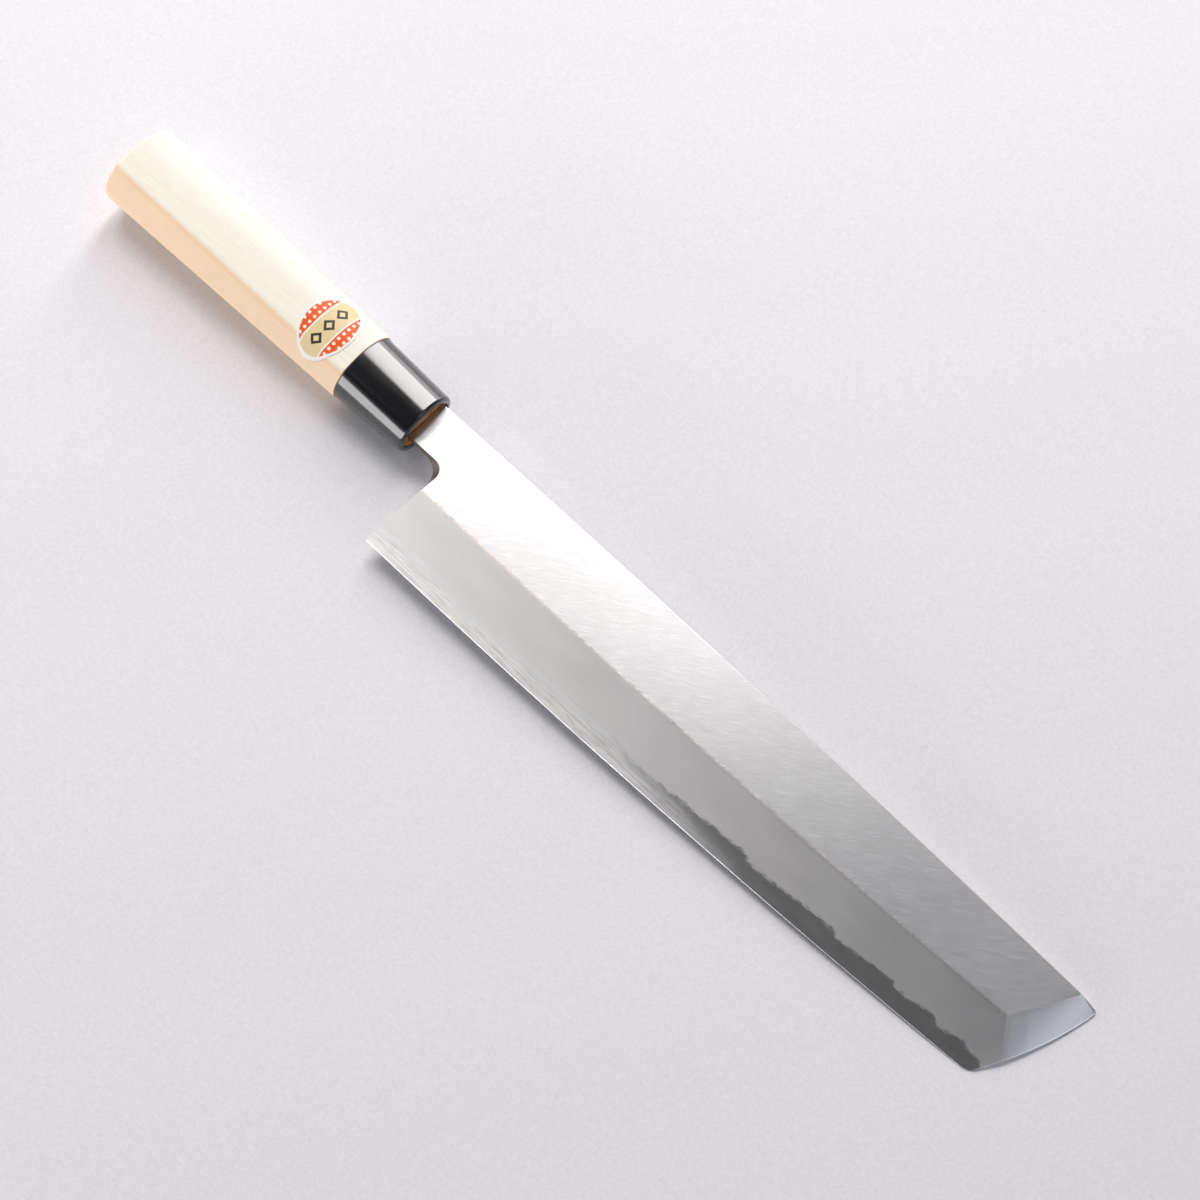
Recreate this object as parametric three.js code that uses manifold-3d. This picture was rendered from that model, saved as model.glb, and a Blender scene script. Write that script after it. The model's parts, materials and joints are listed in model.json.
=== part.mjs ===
// A honekiri: a heavy single-bevel knife for cutting fine fish bones, with a long straight edge, a square
// raked tip, a blade of two forge-welded layers and a tang heat-set in a D-shaped magnolia handle.
// It is drawn in millimetres with X along the handle's axis to the tip, Y towards the spine and Z out of
// the bevelled face. X is 0 at the ferrule's front face, and Y and Z are 0 on the handle's axis.
// The finished group lies on its back face, as the knife lies on a table.
import * as THREE from 'three';
import { mergeVertices } from 'three/addons/utils/BufferGeometryUtils.js';
import Module from 'manifold-3d';

const wasm = await Module();
wasm.setup();

// Blade outline
const HEEL_GAP = 13.5; // ferrule face to heel corner
const EDGE_RUN = 241; // heel corner to tip corner, along X
const EDGE_BELLY = 2.1; // how far the edge bows out
const HEEL_HEIGHT = 47.8; // spine to edge at the heel
const TIP_HEIGHT = 39.9; // spine to edge at the tip corner
const SPINE_FALL = 2.6; // drop of the spine from the ferrule to the tip
const SPINE_CROWN = 1.2; // how far the spine bows out
const TIP_RAKE = 15.6; // spine end ahead of the tip corner
const TIP_BULGE = 2.0; // how far the tip end bows out
const TIP_ROUND = 5.0; // radius of the corner between edge and tip
const SPINE_ROUND = 1.2; // radius of the corner between tip and spine

// Blade thickness and grind
const NECK_THICKNESS = 3.8;
const TIP_THICKNESS = 2.7;
const EDGE_LAND = 0.25; // thickness left at the edge itself
const TIP_LAND = 0.4; // thickness left at the tip end beside the spine
const BEVEL_HEEL = 22.9; // width of the main bevel at the heel
const BEVEL_TIP = 20.0; // width of the main bevel at the tip corner
const TIP_FACET_SHINOGI = 12.9; // length of the tip facet at the bevel's upper line
const TIP_FACET_SPINE = 6.8; // length of the tip facet along the spine
const TIP_RIDGE_RISE = 9.0; // tip corner to the foot of the ridge beside the tip facet, along Y
const SPINE_CHAMFER = 0.4;
const HOLLOW_DEPTH = 0.35; // depth of the hollow ground into the back face
const HOLLOW_RIM = 3.4; // flat rim along edge and spine
const HOLLOW_ENDS = 7.0; // flat rim at heel and tip
const HOLLOW_SQUARENESS = 6; // even power that keeps the hollow's depth nearly to its ends

// Forge-welded layers
const STEEL_HEEL = 1.2; // steel thickness at the heel
const STEEL_TIP = 1.05; // steel thickness at the tip
const STEEL_START = 9.0; // ferrule face to the rear end of the steel
const WELD_WAVE = 0.1; // rise and fall of the weld line
const WELD_WAVE_LENGTH = 23.0;
const WELD_RIPPLES = [1, Math.SQRT2, Math.E]; // shorter waves laid over the main one
const WELD_CLEARANCE = 0.02;

// Neck, heel notch and tang
const NECK_HEIGHT = 15.0;
const NECK_SHIFT = 0.9; // middle of the neck above the handle's axis
const NECK_INSET = 4.0; // full-size neck behind the ferrule face
const NOTCH_ROUND_FACE = 4.2; // notch radius on the bevelled face
const NOTCH_ROUND_BACK = 9.5; // notch radius on the back face
const HEEL_LEAN = 1.9; // notch corner ahead of the heel corner
const TANG_LENGTH = 92;
const TANG_SHOULDER = 0.5;
const TANG_END_HEIGHT = 7.0;
const TANG_END_THICKNESS = 2.4;

// Handle
const HANDLE_LENGTH = 131; // butt to ferrule face
const BUTT_HEIGHT = 28.9;
const BUTT_THICKNESS = 23.4;
const FRONT_HEIGHT = 25.4; // wood beside the ferrule
const FRONT_THICKNESS = 20.6;
const BUTT_ROUND = 1.6;
const FRONT_ROUND = 0.4;
const RIDGE_OFFSET = 7.2; // ridge below the handle's middle plane, towards the edge
const RIDGE_RISE = 0.7; // ridge proud of the plain oval

// Ferrule and the seal in its mouth
const FERRULE_LENGTH = 28;
const FERRULE_STEP = 0.3; // wood stands this proud of the ferrule
const FERRULE_WALL = 1.9;
const FERRULE_FRONT_THICKNESS = 18.4;
const MOUTH_MARGIN = 1.95; // mouth beyond the neck's height, each side
const LIP_ROUND = 1.2;
const LIP_FLARE = 0.4; // bevel inside the lip
const MOUTH_DEPTH = 1.0; // seal below the lip
const SEAL_DEPTH = 1.6;

// Label
const LABEL_SETBACK = 13.9; // ferrule to the label's middle
const LABEL_LENGTH = 18; // along the handle
const LABEL_WIDTH = 23; // across the handle, seen from above
const LABEL_THICKNESS = 0.15;

// Clearances between pieces
const SOCKET_CLEARANCE = 0.3;
const TENON_CLEARANCE = 0.15;
const JOINT_CLEARANCE = 0.1;
const LABEL_CLEARANCE = 0.05;

// How finely curves are stepped
const SECTION_STEPS = 44;
const EDGE_STEPS = 60;
const CORNER_STEPS = 8;
const TIP_STEPS = 3;
const WELD_STEPS = 120;
const HOLLOW_STEPS = 24;
const HOLLOW_ACROSS = 8;
const LABEL_STEPS = 20;
const ROUND_STEPS = 4;

// How far cutting bodies reach past what they cut
const REACH = 12;
const SKIM = 0.5;
const HOLLOW_SKIM = 0.03;

// Points closer than this are one point
const MERGE_DISTANCE = 1e-5;

const lerp = THREE.MathUtils.lerp;
const BACK_LEVEL = -NECK_THICKNESS / 2;
const NECK_TOP = NECK_SHIFT + NECK_HEIGHT / 2;
const NECK_BOTTOM = NECK_SHIFT - NECK_HEIGHT / 2;
const TIP_CORNER_X = HEEL_GAP + EDGE_RUN;
const SPINE_END_X = TIP_CORNER_X + TIP_RAKE;
const FERRULE_FRONT_HEIGHT = NECK_HEIGHT + 2 * MOUTH_MARGIN + 2 * FERRULE_WALL;

function steps(count) {
  return Array.from({ length: count + 1 }, (_, i) => i / count);
}

function plan(x, y) {
  return new THREE.Vector2(x, y);
}

// A curve between two points that bows out to the right of its direction
function bowedCurve(start, end, bow) {
  const chord = end.clone().sub(start).normalize();
  const outward = plan(chord.y, -chord.x);
  const middle = start.clone().add(end).multiplyScalar(0.5);
  const control = middle.addScaledVector(outward, 2 * bow);
  return new THREE.QuadraticBezierCurve(start, control, end);
}

// The points of an arc that rounds the corner between two straight runs
function roundedCorner(before, corner, after, radius) {
  const back = before.clone().sub(corner).normalize();
  const ahead = after.clone().sub(corner).normalize();
  const half = Math.acos(THREE.MathUtils.clamp(back.dot(ahead), -1, 1)) / 2;
  const middle = back.clone().add(ahead).normalize();
  const centre = corner.clone().addScaledVector(middle, radius / Math.sin(half));
  const from = corner.clone().addScaledVector(back, radius / Math.tan(half)).sub(centre);
  const to = corner.clone().addScaledVector(ahead, radius / Math.tan(half)).sub(centre);
  const turn = Math.atan2(from.cross(to), from.dot(to));
  const origin = plan(0, 0);
  return steps(CORNER_STEPS).map((t) => from.clone().rotateAround(origin, turn * t).add(centre));
}

// A closed solid from a geometry's triangles
function solidFrom(geometry) {
  geometry.deleteAttribute('normal');
  geometry.deleteAttribute('uv');
  const merged = mergeVertices(geometry, MERGE_DISTANCE);
  const vertProperties = new Float32Array(merged.attributes.position.array);
  const triVerts = new Uint32Array(merged.index.array);
  return new wasm.Manifold(new wasm.Mesh({ numProp: 3, vertProperties, triVerts }));
}

function signedVolume(triangles) {
  return triangles.reduce((sum, [a, b, c]) => sum + a.dot(b.clone().cross(c)), 0) / 6;
}

// A closed solid through a row of convex sections with equal numbers of points
function loft(sections) {
  const triangles = [];
  const count = sections[0].length;
  const first = sections[0];
  const last = sections[sections.length - 1];
  for (let s = 0; s + 1 < sections.length; s += 1) {
    for (let i = 0; i < count; i += 1) {
      const j = (i + 1) % count;
      triangles.push([sections[s][i], sections[s][j], sections[s + 1][j]]);
      triangles.push([sections[s][i], sections[s + 1][j], sections[s + 1][i]]);
    }
  }
  for (let i = 1; i + 1 < count; i += 1) {
    triangles.push([first[0], first[i + 1], first[i]]);
    triangles.push([last[0], last[i], last[i + 1]]);
  }
  const real = triangles.filter(([a, b, c]) => !a.equals(b) && !b.equals(c) && !c.equals(a));
  const facing = signedVolume(real) > 0 ? real : real.map(([a, b, c]) => [a, c, b]);
  return solidFrom(new THREE.BufferGeometry().setFromPoints(facing.flat()));
}

function section(x, points) {
  return points.map((point) => new THREE.Vector3(x, point.x, point.y));
}

function rectangle(yLow, yHigh, zLow, zHigh) {
  return [plan(yLow, zLow), plan(yHigh, zLow), plan(yHigh, zHigh), plan(yLow, zHigh)];
}

function oval(height, thickness, grow) {
  const curve = new THREE.EllipseCurve(0, 0, height / 2 + grow, thickness / 2 + grow, 0, 2 * Math.PI);
  return curve.getPoints(SECTION_STEPS).slice(0, -1);
}

// The handle's section: an oval whose two flat runs meet in a ridge on the bevel side
function ridgedOval(height, thickness, grow) {
  const a = height / 2 + grow;
  const b = thickness / 2 + grow;
  const ridge = plan(-RIDGE_OFFSET, b * Math.sqrt(1 - (RIDGE_OFFSET / a) ** 2) + RIDGE_RISE);
  const unit = plan(ridge.x / a, ridge.y / b);
  const flat = Math.acos(1 / unit.length());
  const start = unit.angle() + flat;
  const end = unit.angle() - flat + 2 * Math.PI;
  return [ridge, ...new THREE.EllipseCurve(0, 0, a, b, start, end).getPoints(SECTION_STEPS)];
}

// Blade lines

function spineY(x) {
  const u = x / SPINE_END_X;
  return NECK_TOP - SPINE_FALL * u + SPINE_CROWN * 4 * u * (1 - u);
}

function bladeThickness(x) {
  return lerp(NECK_THICKNESS, TIP_THICKNESS, x / SPINE_END_X);
}

const heelCorner = plan(HEEL_GAP, spineY(HEEL_GAP) - HEEL_HEIGHT);
const tipCorner = plan(TIP_CORNER_X, spineY(TIP_CORNER_X) - TIP_HEIGHT);
const spineEnd = plan(SPINE_END_X, spineY(SPINE_END_X));
const edgeCurve = bowedCurve(heelCorner, tipCorner, EDGE_BELLY);
const tipCurve = bowedCurve(tipCorner, spineEnd, TIP_BULGE);

// Where a rising curve reaches a given Y, as a share of its length
function shareAtY(curve, y) {
  const [a, b, c] = [curve.v0.y, curve.v1.y, curve.v2.y];
  const square = a - 2 * b + c;
  const slope = b - a;
  return (y - a) / (slope + Math.sqrt(slope * slope + square * (y - a)));
}

const tipRidgeShare = shareAtY(tipCurve, tipCorner.y + TIP_RIDGE_RISE);
const shinogiEndY = tipCorner.y + BEVEL_TIP;
const shinogiEndX = tipCurve.getPoint(shareAtY(tipCurve, shinogiEndY)).x - TIP_FACET_SHINOGI;
const shinogiEnd = plan(shinogiEndX, shinogiEndY);
const shinogiStart = plan(HEEL_GAP, heelCorner.y + BEVEL_HEEL);
const shinogiCurve = bowedCurve(shinogiStart, shinogiEnd, EDGE_BELLY * (BEVEL_TIP / BEVEL_HEEL));
const facetTop = plan(SPINE_END_X - TIP_FACET_SPINE, spineY(SPINE_END_X - TIP_FACET_SPINE));

function edgeY(x) {
  return edgeCurve.getPoint((x - HEEL_GAP) / EDGE_RUN).y;
}

// Thickness of the blade where the main bevel runs on to the tip end
function bevelThickness(point) {
  const share = (point.y - edgeY(point.x)) / (shinogiEnd.y - edgeY(shinogiEnd.x));
  return lerp(EDGE_LAND, bladeThickness(shinogiEnd.x), share);
}

// One section of the blade: along the outline, up the bevel, across the flat and down the spine
function bladeSection(outline, land, bevelTop, spineX) {
  const face = BACK_LEVEL + bladeThickness(bevelTop.x);
  const spineFace = BACK_LEVEL + bladeThickness(spineX);
  const y = spineY(spineX);
  return [
    new THREE.Vector3(outline.x, outline.y, BACK_LEVEL),
    new THREE.Vector3(outline.x, outline.y, BACK_LEVEL + land),
    new THREE.Vector3(bevelTop.x, bevelTop.y, face),
    new THREE.Vector3(spineX, y - SPINE_CHAMFER, spineFace),
    new THREE.Vector3(spineX, y, spineFace - SPINE_CHAMFER),
    new THREE.Vector3(spineX, y, BACK_LEVEL),
  ];
}

// The outline of the tip facet, from the foot of its ridge to the spine
function facetOutline() {
  const spineCorner = roundedCorner(tipCurve.v1, spineEnd, facetTop, SPINE_ROUND);
  const endShare = shareAtY(tipCurve, spineCorner[0].y);
  const run = steps(TIP_STEPS).map((t) => tipCurve.getPoint(lerp(tipRidgeShare, endShare, t)));
  return [...run, ...spineCorner.slice(1)];
}

// Outline points round the tip, each with the thickness left there and the point it is ground from
function tipRuns() {
  const corner = roundedCorner(edgeCurve.v1, tipCorner, tipCurve.v1, TIP_ROUND);
  const cornerShare = shareAtY(tipCurve, corner[CORNER_STEPS].y);
  const roll = steps(ROUND_STEPS).map((t) => tipCurve.getPoint(lerp(cornerShare, tipRidgeShare, t)));
  const plain = [...corner, ...roll.slice(1)].map((outline) => {
    return { outline, land: bevelThickness(outline), top: shinogiEnd };
  });
  const [foot, ...facet] = facetOutline();
  const facetLine = new THREE.LineCurve(shinogiEnd, plan(facetTop.x, facetTop.y - SPINE_CHAMFER));
  const rise = facet[facet.length - 1].y - foot.y;
  const ground = facet.map((outline) => {
    const t = (outline.y - foot.y) / rise;
    return { outline, land: lerp(bevelThickness(foot), TIP_LAND, t), top: facetLine.getPoint(t) };
  });
  return [...plain, ...ground];
}

// The blade before notch and hollow: its sections swing round with the outline at the tip
function bladeBlank() {
  const tip = tipRuns();
  const rearShare = (-NECK_INSET - HEEL_GAP) / EDGE_RUN;
  const cornerShare = (tip[0].outline.x - HEEL_GAP) / EDGE_RUN;
  const edgeSections = steps(EDGE_STEPS).map((t) => {
    const outline = edgeCurve.getPoint(lerp(rearShare, cornerShare, t));
    const top = shinogiCurve.getPoint(lerp(rearShare, 1, t));
    return bladeSection(outline, EDGE_LAND, top, lerp(-NECK_INSET, shinogiEnd.x, t));
  });
  const tipSections = tip.map(({ outline, land, top }, i) => {
    return bladeSection(outline, land, top, lerp(shinogiEnd.x, facetTop.x, i / (tip.length - 1)));
  });
  return loft([...edgeSections, ...tipSections.slice(1)]);
}

// The space between neck and heel, whose corner is fuller on the back face
function notchCutter() {
  const corner = plan(HEEL_GAP + HEEL_LEAN, NECK_BOTTOM);
  const heelBack = heelCorner.clone().sub(corner);
  const low = corner.clone().add(heelBack.setLength(heelBack.length() + REACH));
  const rear = plan(-NECK_INSET - REACH, NECK_BOTTOM);
  const outlineAt = (z) => {
    const radius = lerp(NOTCH_ROUND_BACK, NOTCH_ROUND_FACE, (z - BACK_LEVEL) / NECK_THICKNESS);
    const points = [plan(rear.x, low.y), rear, ...roundedCorner(rear, corner, low, radius), low];
    return points.map((point) => new THREE.Vector3(point.x, point.y, z));
  };
  return loft([outlineAt(BACK_LEVEL - SKIM), outlineAt(BACK_LEVEL + NECK_THICKNESS + SKIM)]);
}

// The shallow hollow ground into the back face, fading out at a flat rim
function hollowCutter() {
  const rear = HEEL_GAP + HEEL_LEAN + HOLLOW_ENDS;
  const edgeEnd = TIP_CORNER_X - HOLLOW_ENDS;
  const spineEndX = SPINE_END_X - HOLLOW_ENDS;
  const rise = HOLLOW_DEPTH + HOLLOW_SKIM;
  return loft(steps(HOLLOW_STEPS).map((t) => {
    const edgeX = lerp(rear, edgeEnd, t);
    const edge = plan(edgeX, edgeY(edgeX) + HOLLOW_RIM);
    const spineX = lerp(rear, spineEndX, t);
    const spine = plan(spineX, spineY(spineX) - HOLLOW_RIM);
    const fade = 1 - (2 * t - 1) ** HOLLOW_SQUARENESS;
    const dome = steps(HOLLOW_ACROSS).map((v) => {
      const point = edge.clone().lerp(spine, v);
      const z = BACK_LEVEL - HOLLOW_SKIM + rise * fade * (1 - (2 * v - 1) ** 2);
      return new THREE.Vector3(point.x, point.y, z);
    });
    const floor = BACK_LEVEL - SKIM;
    return [new THREE.Vector3(edge.x, edge.y, floor), ...dome, new THREE.Vector3(spine.x, spine.y, floor)];
  }));
}

// Height of the forge weld above the back face: it wanders as the two layers were hammered together
function weldHeight(x) {
  const turn = (2 * Math.PI * x) / WELD_WAVE_LENGTH;
  const wave = WELD_RIPPLES.reduce((sum, pitch) => sum + Math.sin(turn * pitch) / pitch, 0);
  return lerp(STEEL_HEEL, STEEL_TIP, (x - HEEL_GAP) / EDGE_RUN) + WELD_WAVE * wave;
}

// Everything on the steel side of the weld
function steelSide(clearance) {
  const yLow = heelCorner.y - REACH;
  const yHigh = NECK_TOP + REACH;
  return loft(steps(WELD_STEPS).map((t) => {
    const x = lerp(STEEL_START - clearance, SPINE_END_X + REACH, t);
    const level = BACK_LEVEL + weldHeight(x) + clearance;
    return section(x, rectangle(yLow, yHigh, BACK_LEVEL - REACH, level));
  }));
}

// The tapered tang, or the socket burnt for it when a clearance is given
function tangBody(clearance) {
  const halfHeight = NECK_HEIGHT / 2 - TANG_SHOULDER + clearance;
  const halfThickness = NECK_THICKNESS / 2 - TANG_SHOULDER + clearance;
  const endHeight = TANG_END_HEIGHT / 2 + clearance;
  const endThickness = TANG_END_THICKNESS / 2 + clearance;
  const root = rectangle(NECK_SHIFT - halfHeight, NECK_SHIFT + halfHeight, -halfThickness, halfThickness);
  const end = rectangle(NECK_SHIFT - endHeight, NECK_SHIFT + endHeight, -endThickness, endThickness);
  return loft([section(-TANG_LENGTH - clearance, end), section(SKIM - NECK_INSET, root)]);
}

// The slot that the full-size neck passes through
function neckSlot(clearance) {
  const halfThickness = NECK_THICKNESS / 2 + clearance;
  const yLow = NECK_BOTTOM - clearance;
  const yHigh = NECK_TOP + clearance;
  const outline = rectangle(yLow, yHigh, -halfThickness, halfThickness);
  return loft([section(-NECK_INSET - clearance, outline), section(REACH, outline)]);
}

// The wooden grip's outer section, grown or shrunk all round
function gripSection(x, grow) {
  const t = (x + HANDLE_LENGTH) / (HANDLE_LENGTH - FERRULE_LENGTH);
  const height = lerp(BUTT_HEIGHT, FRONT_HEIGHT, t);
  const thickness = lerp(BUTT_THICKNESS, FRONT_THICKNESS, t);
  return section(x, ridgedOval(height, thickness, grow));
}

function ferruleSize(x) {
  const t = (x + FERRULE_LENGTH) / FERRULE_LENGTH;
  const height = lerp(FRONT_HEIGHT - 2 * FERRULE_STEP, FERRULE_FRONT_HEIGHT, t);
  const thickness = lerp(FRONT_THICKNESS - 2 * FERRULE_STEP, FERRULE_FRONT_THICKNESS, t);
  return { height, thickness };
}

function ferruleSection(x, grow) {
  const { height, thickness } = ferruleSize(x);
  return section(x, ridgedOval(height, thickness, grow));
}

// The ferrule's plain oval bore, and at a small clearance what fills it
function boreSection(x, grow) {
  const { height, thickness } = ferruleSize(x);
  return section(x, oval(height, thickness, grow - FERRULE_WALL));
}

// Sections that round the rim of an end, from its face inwards
function roundedRim(sectionAt, endX, inward, radius) {
  return steps(ROUND_STEPS).map((t) => {
    const angle = (t * Math.PI) / 2;
    return sectionAt(endX + inward * radius * (1 - Math.cos(angle)), radius * (Math.sin(angle) - 1));
  });
}

function buildHandle() {
  const butt = roundedRim(gripSection, -HANDLE_LENGTH, 1, BUTT_ROUND);
  const front = roundedRim(gripSection, -FERRULE_LENGTH, -1, FRONT_ROUND).reverse();
  const tenonRear = boreSection(-FERRULE_LENGTH - REACH, -TENON_CLEARANCE);
  const tenonFront = boreSection(-MOUTH_DEPTH - SEAL_DEPTH - JOINT_CLEARANCE, -TENON_CLEARANCE);
  const outside = loft([...butt, ...front]).add(loft([tenonRear, tenonFront]));
  return outside.subtract(tangBody(SOCKET_CLEARANCE)).subtract(neckSlot(SOCKET_CLEARANCE));
}

function buildFerrule() {
  const rear = ferruleSection(-FERRULE_LENGTH + JOINT_CLEARANCE, 0);
  const lip = roundedRim(ferruleSection, 0, -1, LIP_ROUND).reverse();
  const bore = [
    boreSection(-FERRULE_LENGTH - SKIM, 0),
    boreSection(-LIP_FLARE, 0),
    boreSection(LIP_FLARE, 2 * LIP_FLARE),
  ];
  return loft([rear, ...lip]).subtract(loft(bore));
}

function buildSeal() {
  const rear = boreSection(-MOUTH_DEPTH - SEAL_DEPTH, -TENON_CLEARANCE);
  const front = boreSection(-MOUTH_DEPTH, -TENON_CLEARANCE);
  return loft([rear, front]).subtract(neckSlot(JOINT_CLEARANCE));
}

// An oval of thin paper that follows the wood across its ridge
function buildLabel() {
  const middle = -FERRULE_LENGTH - LABEL_SETBACK;
  const skinAt = (grow, reach) => {
    return loft([gripSection(middle - reach, grow), gripSection(middle + reach, grow)]);
  };
  const outside = skinAt(LABEL_CLEARANCE + LABEL_THICKNESS, LABEL_LENGTH);
  const inside = skinAt(LABEL_CLEARANCE, LABEL_LENGTH + SKIM);
  const outline = new THREE.Shape();
  outline.absellipse(middle, 0, LABEL_LENGTH / 2, LABEL_WIDTH / 2, 0, 2 * Math.PI);
  const stamp = new THREE.ExtrudeGeometry(outline, {
    depth: BUTT_THICKNESS,
    bevelEnabled: false,
    curveSegments: LABEL_STEPS,
  });
  return outside.subtract(inside).intersect(solidFrom(stamp));
}

function material(color, roughness, metalness) {
  return new THREE.MeshStandardMaterial({ color, roughness, metalness });
}

function piece(name, solid, finish) {
  const mesh = solid.getMesh();
  const geometry = new THREE.BufferGeometry();
  geometry.setAttribute('position', new THREE.BufferAttribute(mesh.vertProperties, 3));
  geometry.setIndex(new THREE.BufferAttribute(mesh.triVerts, 1));
  geometry.computeVertexNormals();
  const object = new THREE.Mesh(geometry, finish);
  object.name = name;
  return object;
}

// The knife touches the table with the lower part of its tip and under the wood's front rim
function layDown(knife) {
  const [low, high] = facetOutline();
  const along = high.clone().sub(low).normalize();
  const rim = plan(-FERRULE_LENGTH, 0).sub(low);
  const drop = FRONT_THICKNESS / 2 + BACK_LEVEL;
  const turn = Math.atan2(drop, along.cross(rim));
  knife.quaternion.setFromAxisAngle(new THREE.Vector3(along.x, along.y, 0), turn);
  const box = new THREE.Box3().setFromObject(knife, true);
  const middle = box.getCenter(new THREE.Vector3());
  knife.position.set(-middle.x, -middle.y, -box.min.z);
}

const blade = bladeBlank().subtract(notchCutter()).add(tangBody(0)).subtract(hollowCutter());

const knife = new THREE.Group();
knife.add(
  piece('blade_iron', blade.subtract(steelSide(WELD_CLEARANCE)), material('#b9babd', 0.35, 1)),
  piece('edge_steel', blade.intersect(steelSide(0)), material('#8d8e90', 0.2, 1)),
  piece('handle_grip', buildHandle(), material('#ecd3ad', 0.6, 0)),
  piece('ferrule', buildFerrule(), material('#141516', 0.15, 0)),
  piece('tang_seal', buildSeal(), material('#7a4a28', 0.4, 0)),
  piece('label', buildLabel(), material('#e2603a', 0.4, 0)),
);
layDown(knife);

const honekiri = new THREE.Group();
honekiri.add(knife);

export default honekiri;
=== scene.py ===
import json
import math
from functools import partialmethod

import bmesh
import bpy
from mathutils import Matrix, Vector, noise


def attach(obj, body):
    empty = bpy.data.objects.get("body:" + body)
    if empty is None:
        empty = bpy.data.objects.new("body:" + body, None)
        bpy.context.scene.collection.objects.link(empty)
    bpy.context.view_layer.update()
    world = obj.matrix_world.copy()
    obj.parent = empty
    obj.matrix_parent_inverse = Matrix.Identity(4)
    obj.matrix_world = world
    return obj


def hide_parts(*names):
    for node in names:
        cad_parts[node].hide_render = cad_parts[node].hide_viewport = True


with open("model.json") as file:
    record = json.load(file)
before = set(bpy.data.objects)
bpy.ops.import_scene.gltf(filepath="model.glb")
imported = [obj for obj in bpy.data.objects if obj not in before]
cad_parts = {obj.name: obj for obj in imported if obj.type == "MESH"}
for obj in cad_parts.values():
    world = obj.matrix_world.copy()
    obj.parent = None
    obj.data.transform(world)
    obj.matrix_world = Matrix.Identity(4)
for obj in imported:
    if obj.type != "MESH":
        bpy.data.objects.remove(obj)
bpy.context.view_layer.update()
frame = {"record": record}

# Sizes are in millimetres in the knife's own frame: X along the handle to the tip, 0 at the ferrule's face,
# Y towards the spine and Z out of the bevelled face.
MM = 0.001

# Blade outline and grind, as in the CAD
HEEL_GAP = 13.5
EDGE_RUN = 241.0
EDGE_BELLY = 2.1
HEEL_HEIGHT = 47.8
TIP_HEIGHT = 39.9
SPINE_FALL = 2.6
SPINE_CROWN = 1.2
TIP_RAKE = 15.6
TIP_BULGE = 2.0
TIP_ROUND = 5.0
SPINE_ROUND = 1.2
NECK_THICKNESS = 3.8
TIP_THICKNESS = 2.7
EDGE_LAND = 0.25
TIP_LAND = 0.4
BEVEL_HEEL = 22.9
BEVEL_TIP = 20.0
TIP_FACET_SHINOGI = 12.9
TIP_FACET_SPINE = 6.8
TIP_RIDGE_RISE = 9.0
HOLLOW_DEPTH = 0.35
HOLLOW_RIM = 3.4
HOLLOW_ENDS = 7.0
HOLLOW_SQUARENESS = 6
STEEL_START = 9.0
NECK_HEIGHT = 15.0
NECK_SHIFT = 0.9
NECK_INSET = 4.0
NOTCH_ROUND_FACE = 4.2
HEEL_LEAN = 1.9
TANG_LENGTH = 92.0
TANG_SHOULDER = 0.5
TANG_END_HEIGHT = 7.0
TANG_END_THICKNESS = 2.4

# Finer forms of the blade, for the render
MICRO_BEVEL = 0.15  # width of the honed strip at the very edge
MICRO_LAND = 0.10
BEVEL_DISH = 0.10  # hollow of the main bevel
FACET_CROWN = 0.16  # swell of the tip facet
FACET_EASE = 0.25  # share of the facet over which its swell grows
SPINE_ROUNDING = 0.25  # radius along the spine's upper edge
NOTCH_ROUND_BACK = 7.0  # radius of the notch's corner at the back face
HEEL_FLARE = 1.8  # how far the notch's wall leans out behind, at the back face
SHINOGI_SOFT = 0.45  # half width of the softened ridge line
SHINOGI_SOFT_LIMIT = 0.2  # the same, as a share of a narrow bevel
WELD_RISE = 5.3  # height of the weld line above the edge where it is lowest
WELD_GAP = 0.02  # between the two layers, behind the weld line
WELD_CLIMB = 1.7  # how far the weld line climbs before it drops back
WELD_DROP = 0.10  # share of a climb over which it drops back
WELD_GATHER = 271.0  # place towards which the climbs follow each other ever faster
WELD_FIRST = 103.0  # how far before that place one of them ends
WELD_PACE = 0.68  # length of a climb over the one before
WELD_RUNOUT = 9.0  # where the weld line comes down to the edge at the tip
WELD_SINK = 45.0  # where it starts to come nearer the edge
WELD_SUNK = 0.85  # share of its height that is left there
WELD_RIPPLES = (0.16, 3.1, 0.45), (0.5, 7.7, 0.18)  # rate per millimetre, place in the noise and height
WELD_TRAIL = 6.0  # how far its darker colour runs on round the tip corner
FACET_BLEND = 2.2  # width over which the bevel's finish turns into the tip facet's
FACET_LEAD = 0.15  # how far that has gone at the ridge itself

# Handle, ferrule, seal and label, as in the CAD
HANDLE_LENGTH = 131.0
BUTT_HEIGHT = 28.9
BUTT_THICKNESS = 23.4
FRONT_HEIGHT = 25.4
FRONT_THICKNESS = 20.6
BUTT_ROUND = 1.6
FRONT_ROUND = 0.4
RIDGE_OFFSET = 7.2
RIDGE_RISE = 0.7
FERRULE_LENGTH = 28.0
FERRULE_STEP = 0.3
FERRULE_WALL = 1.9
FERRULE_FRONT_THICKNESS = 18.4
MOUTH_MARGIN = 1.95
LIP_ROUND = 1.2
LIP_FLARE = 0.4
MOUTH_DEPTH = 1.0
SEAL_DEPTH = 1.6
LABEL_SETBACK = 13.9
LABEL_LENGTH = 18.0
LABEL_WIDTH = 23.0
LABEL_THICKNESS = 0.15
SOCKET_CLEARANCE = 0.3
TENON_CLEARANCE = 0.15
JOINT_CLEARANCE = 0.1
LABEL_CLEARANCE = 0.05

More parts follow.
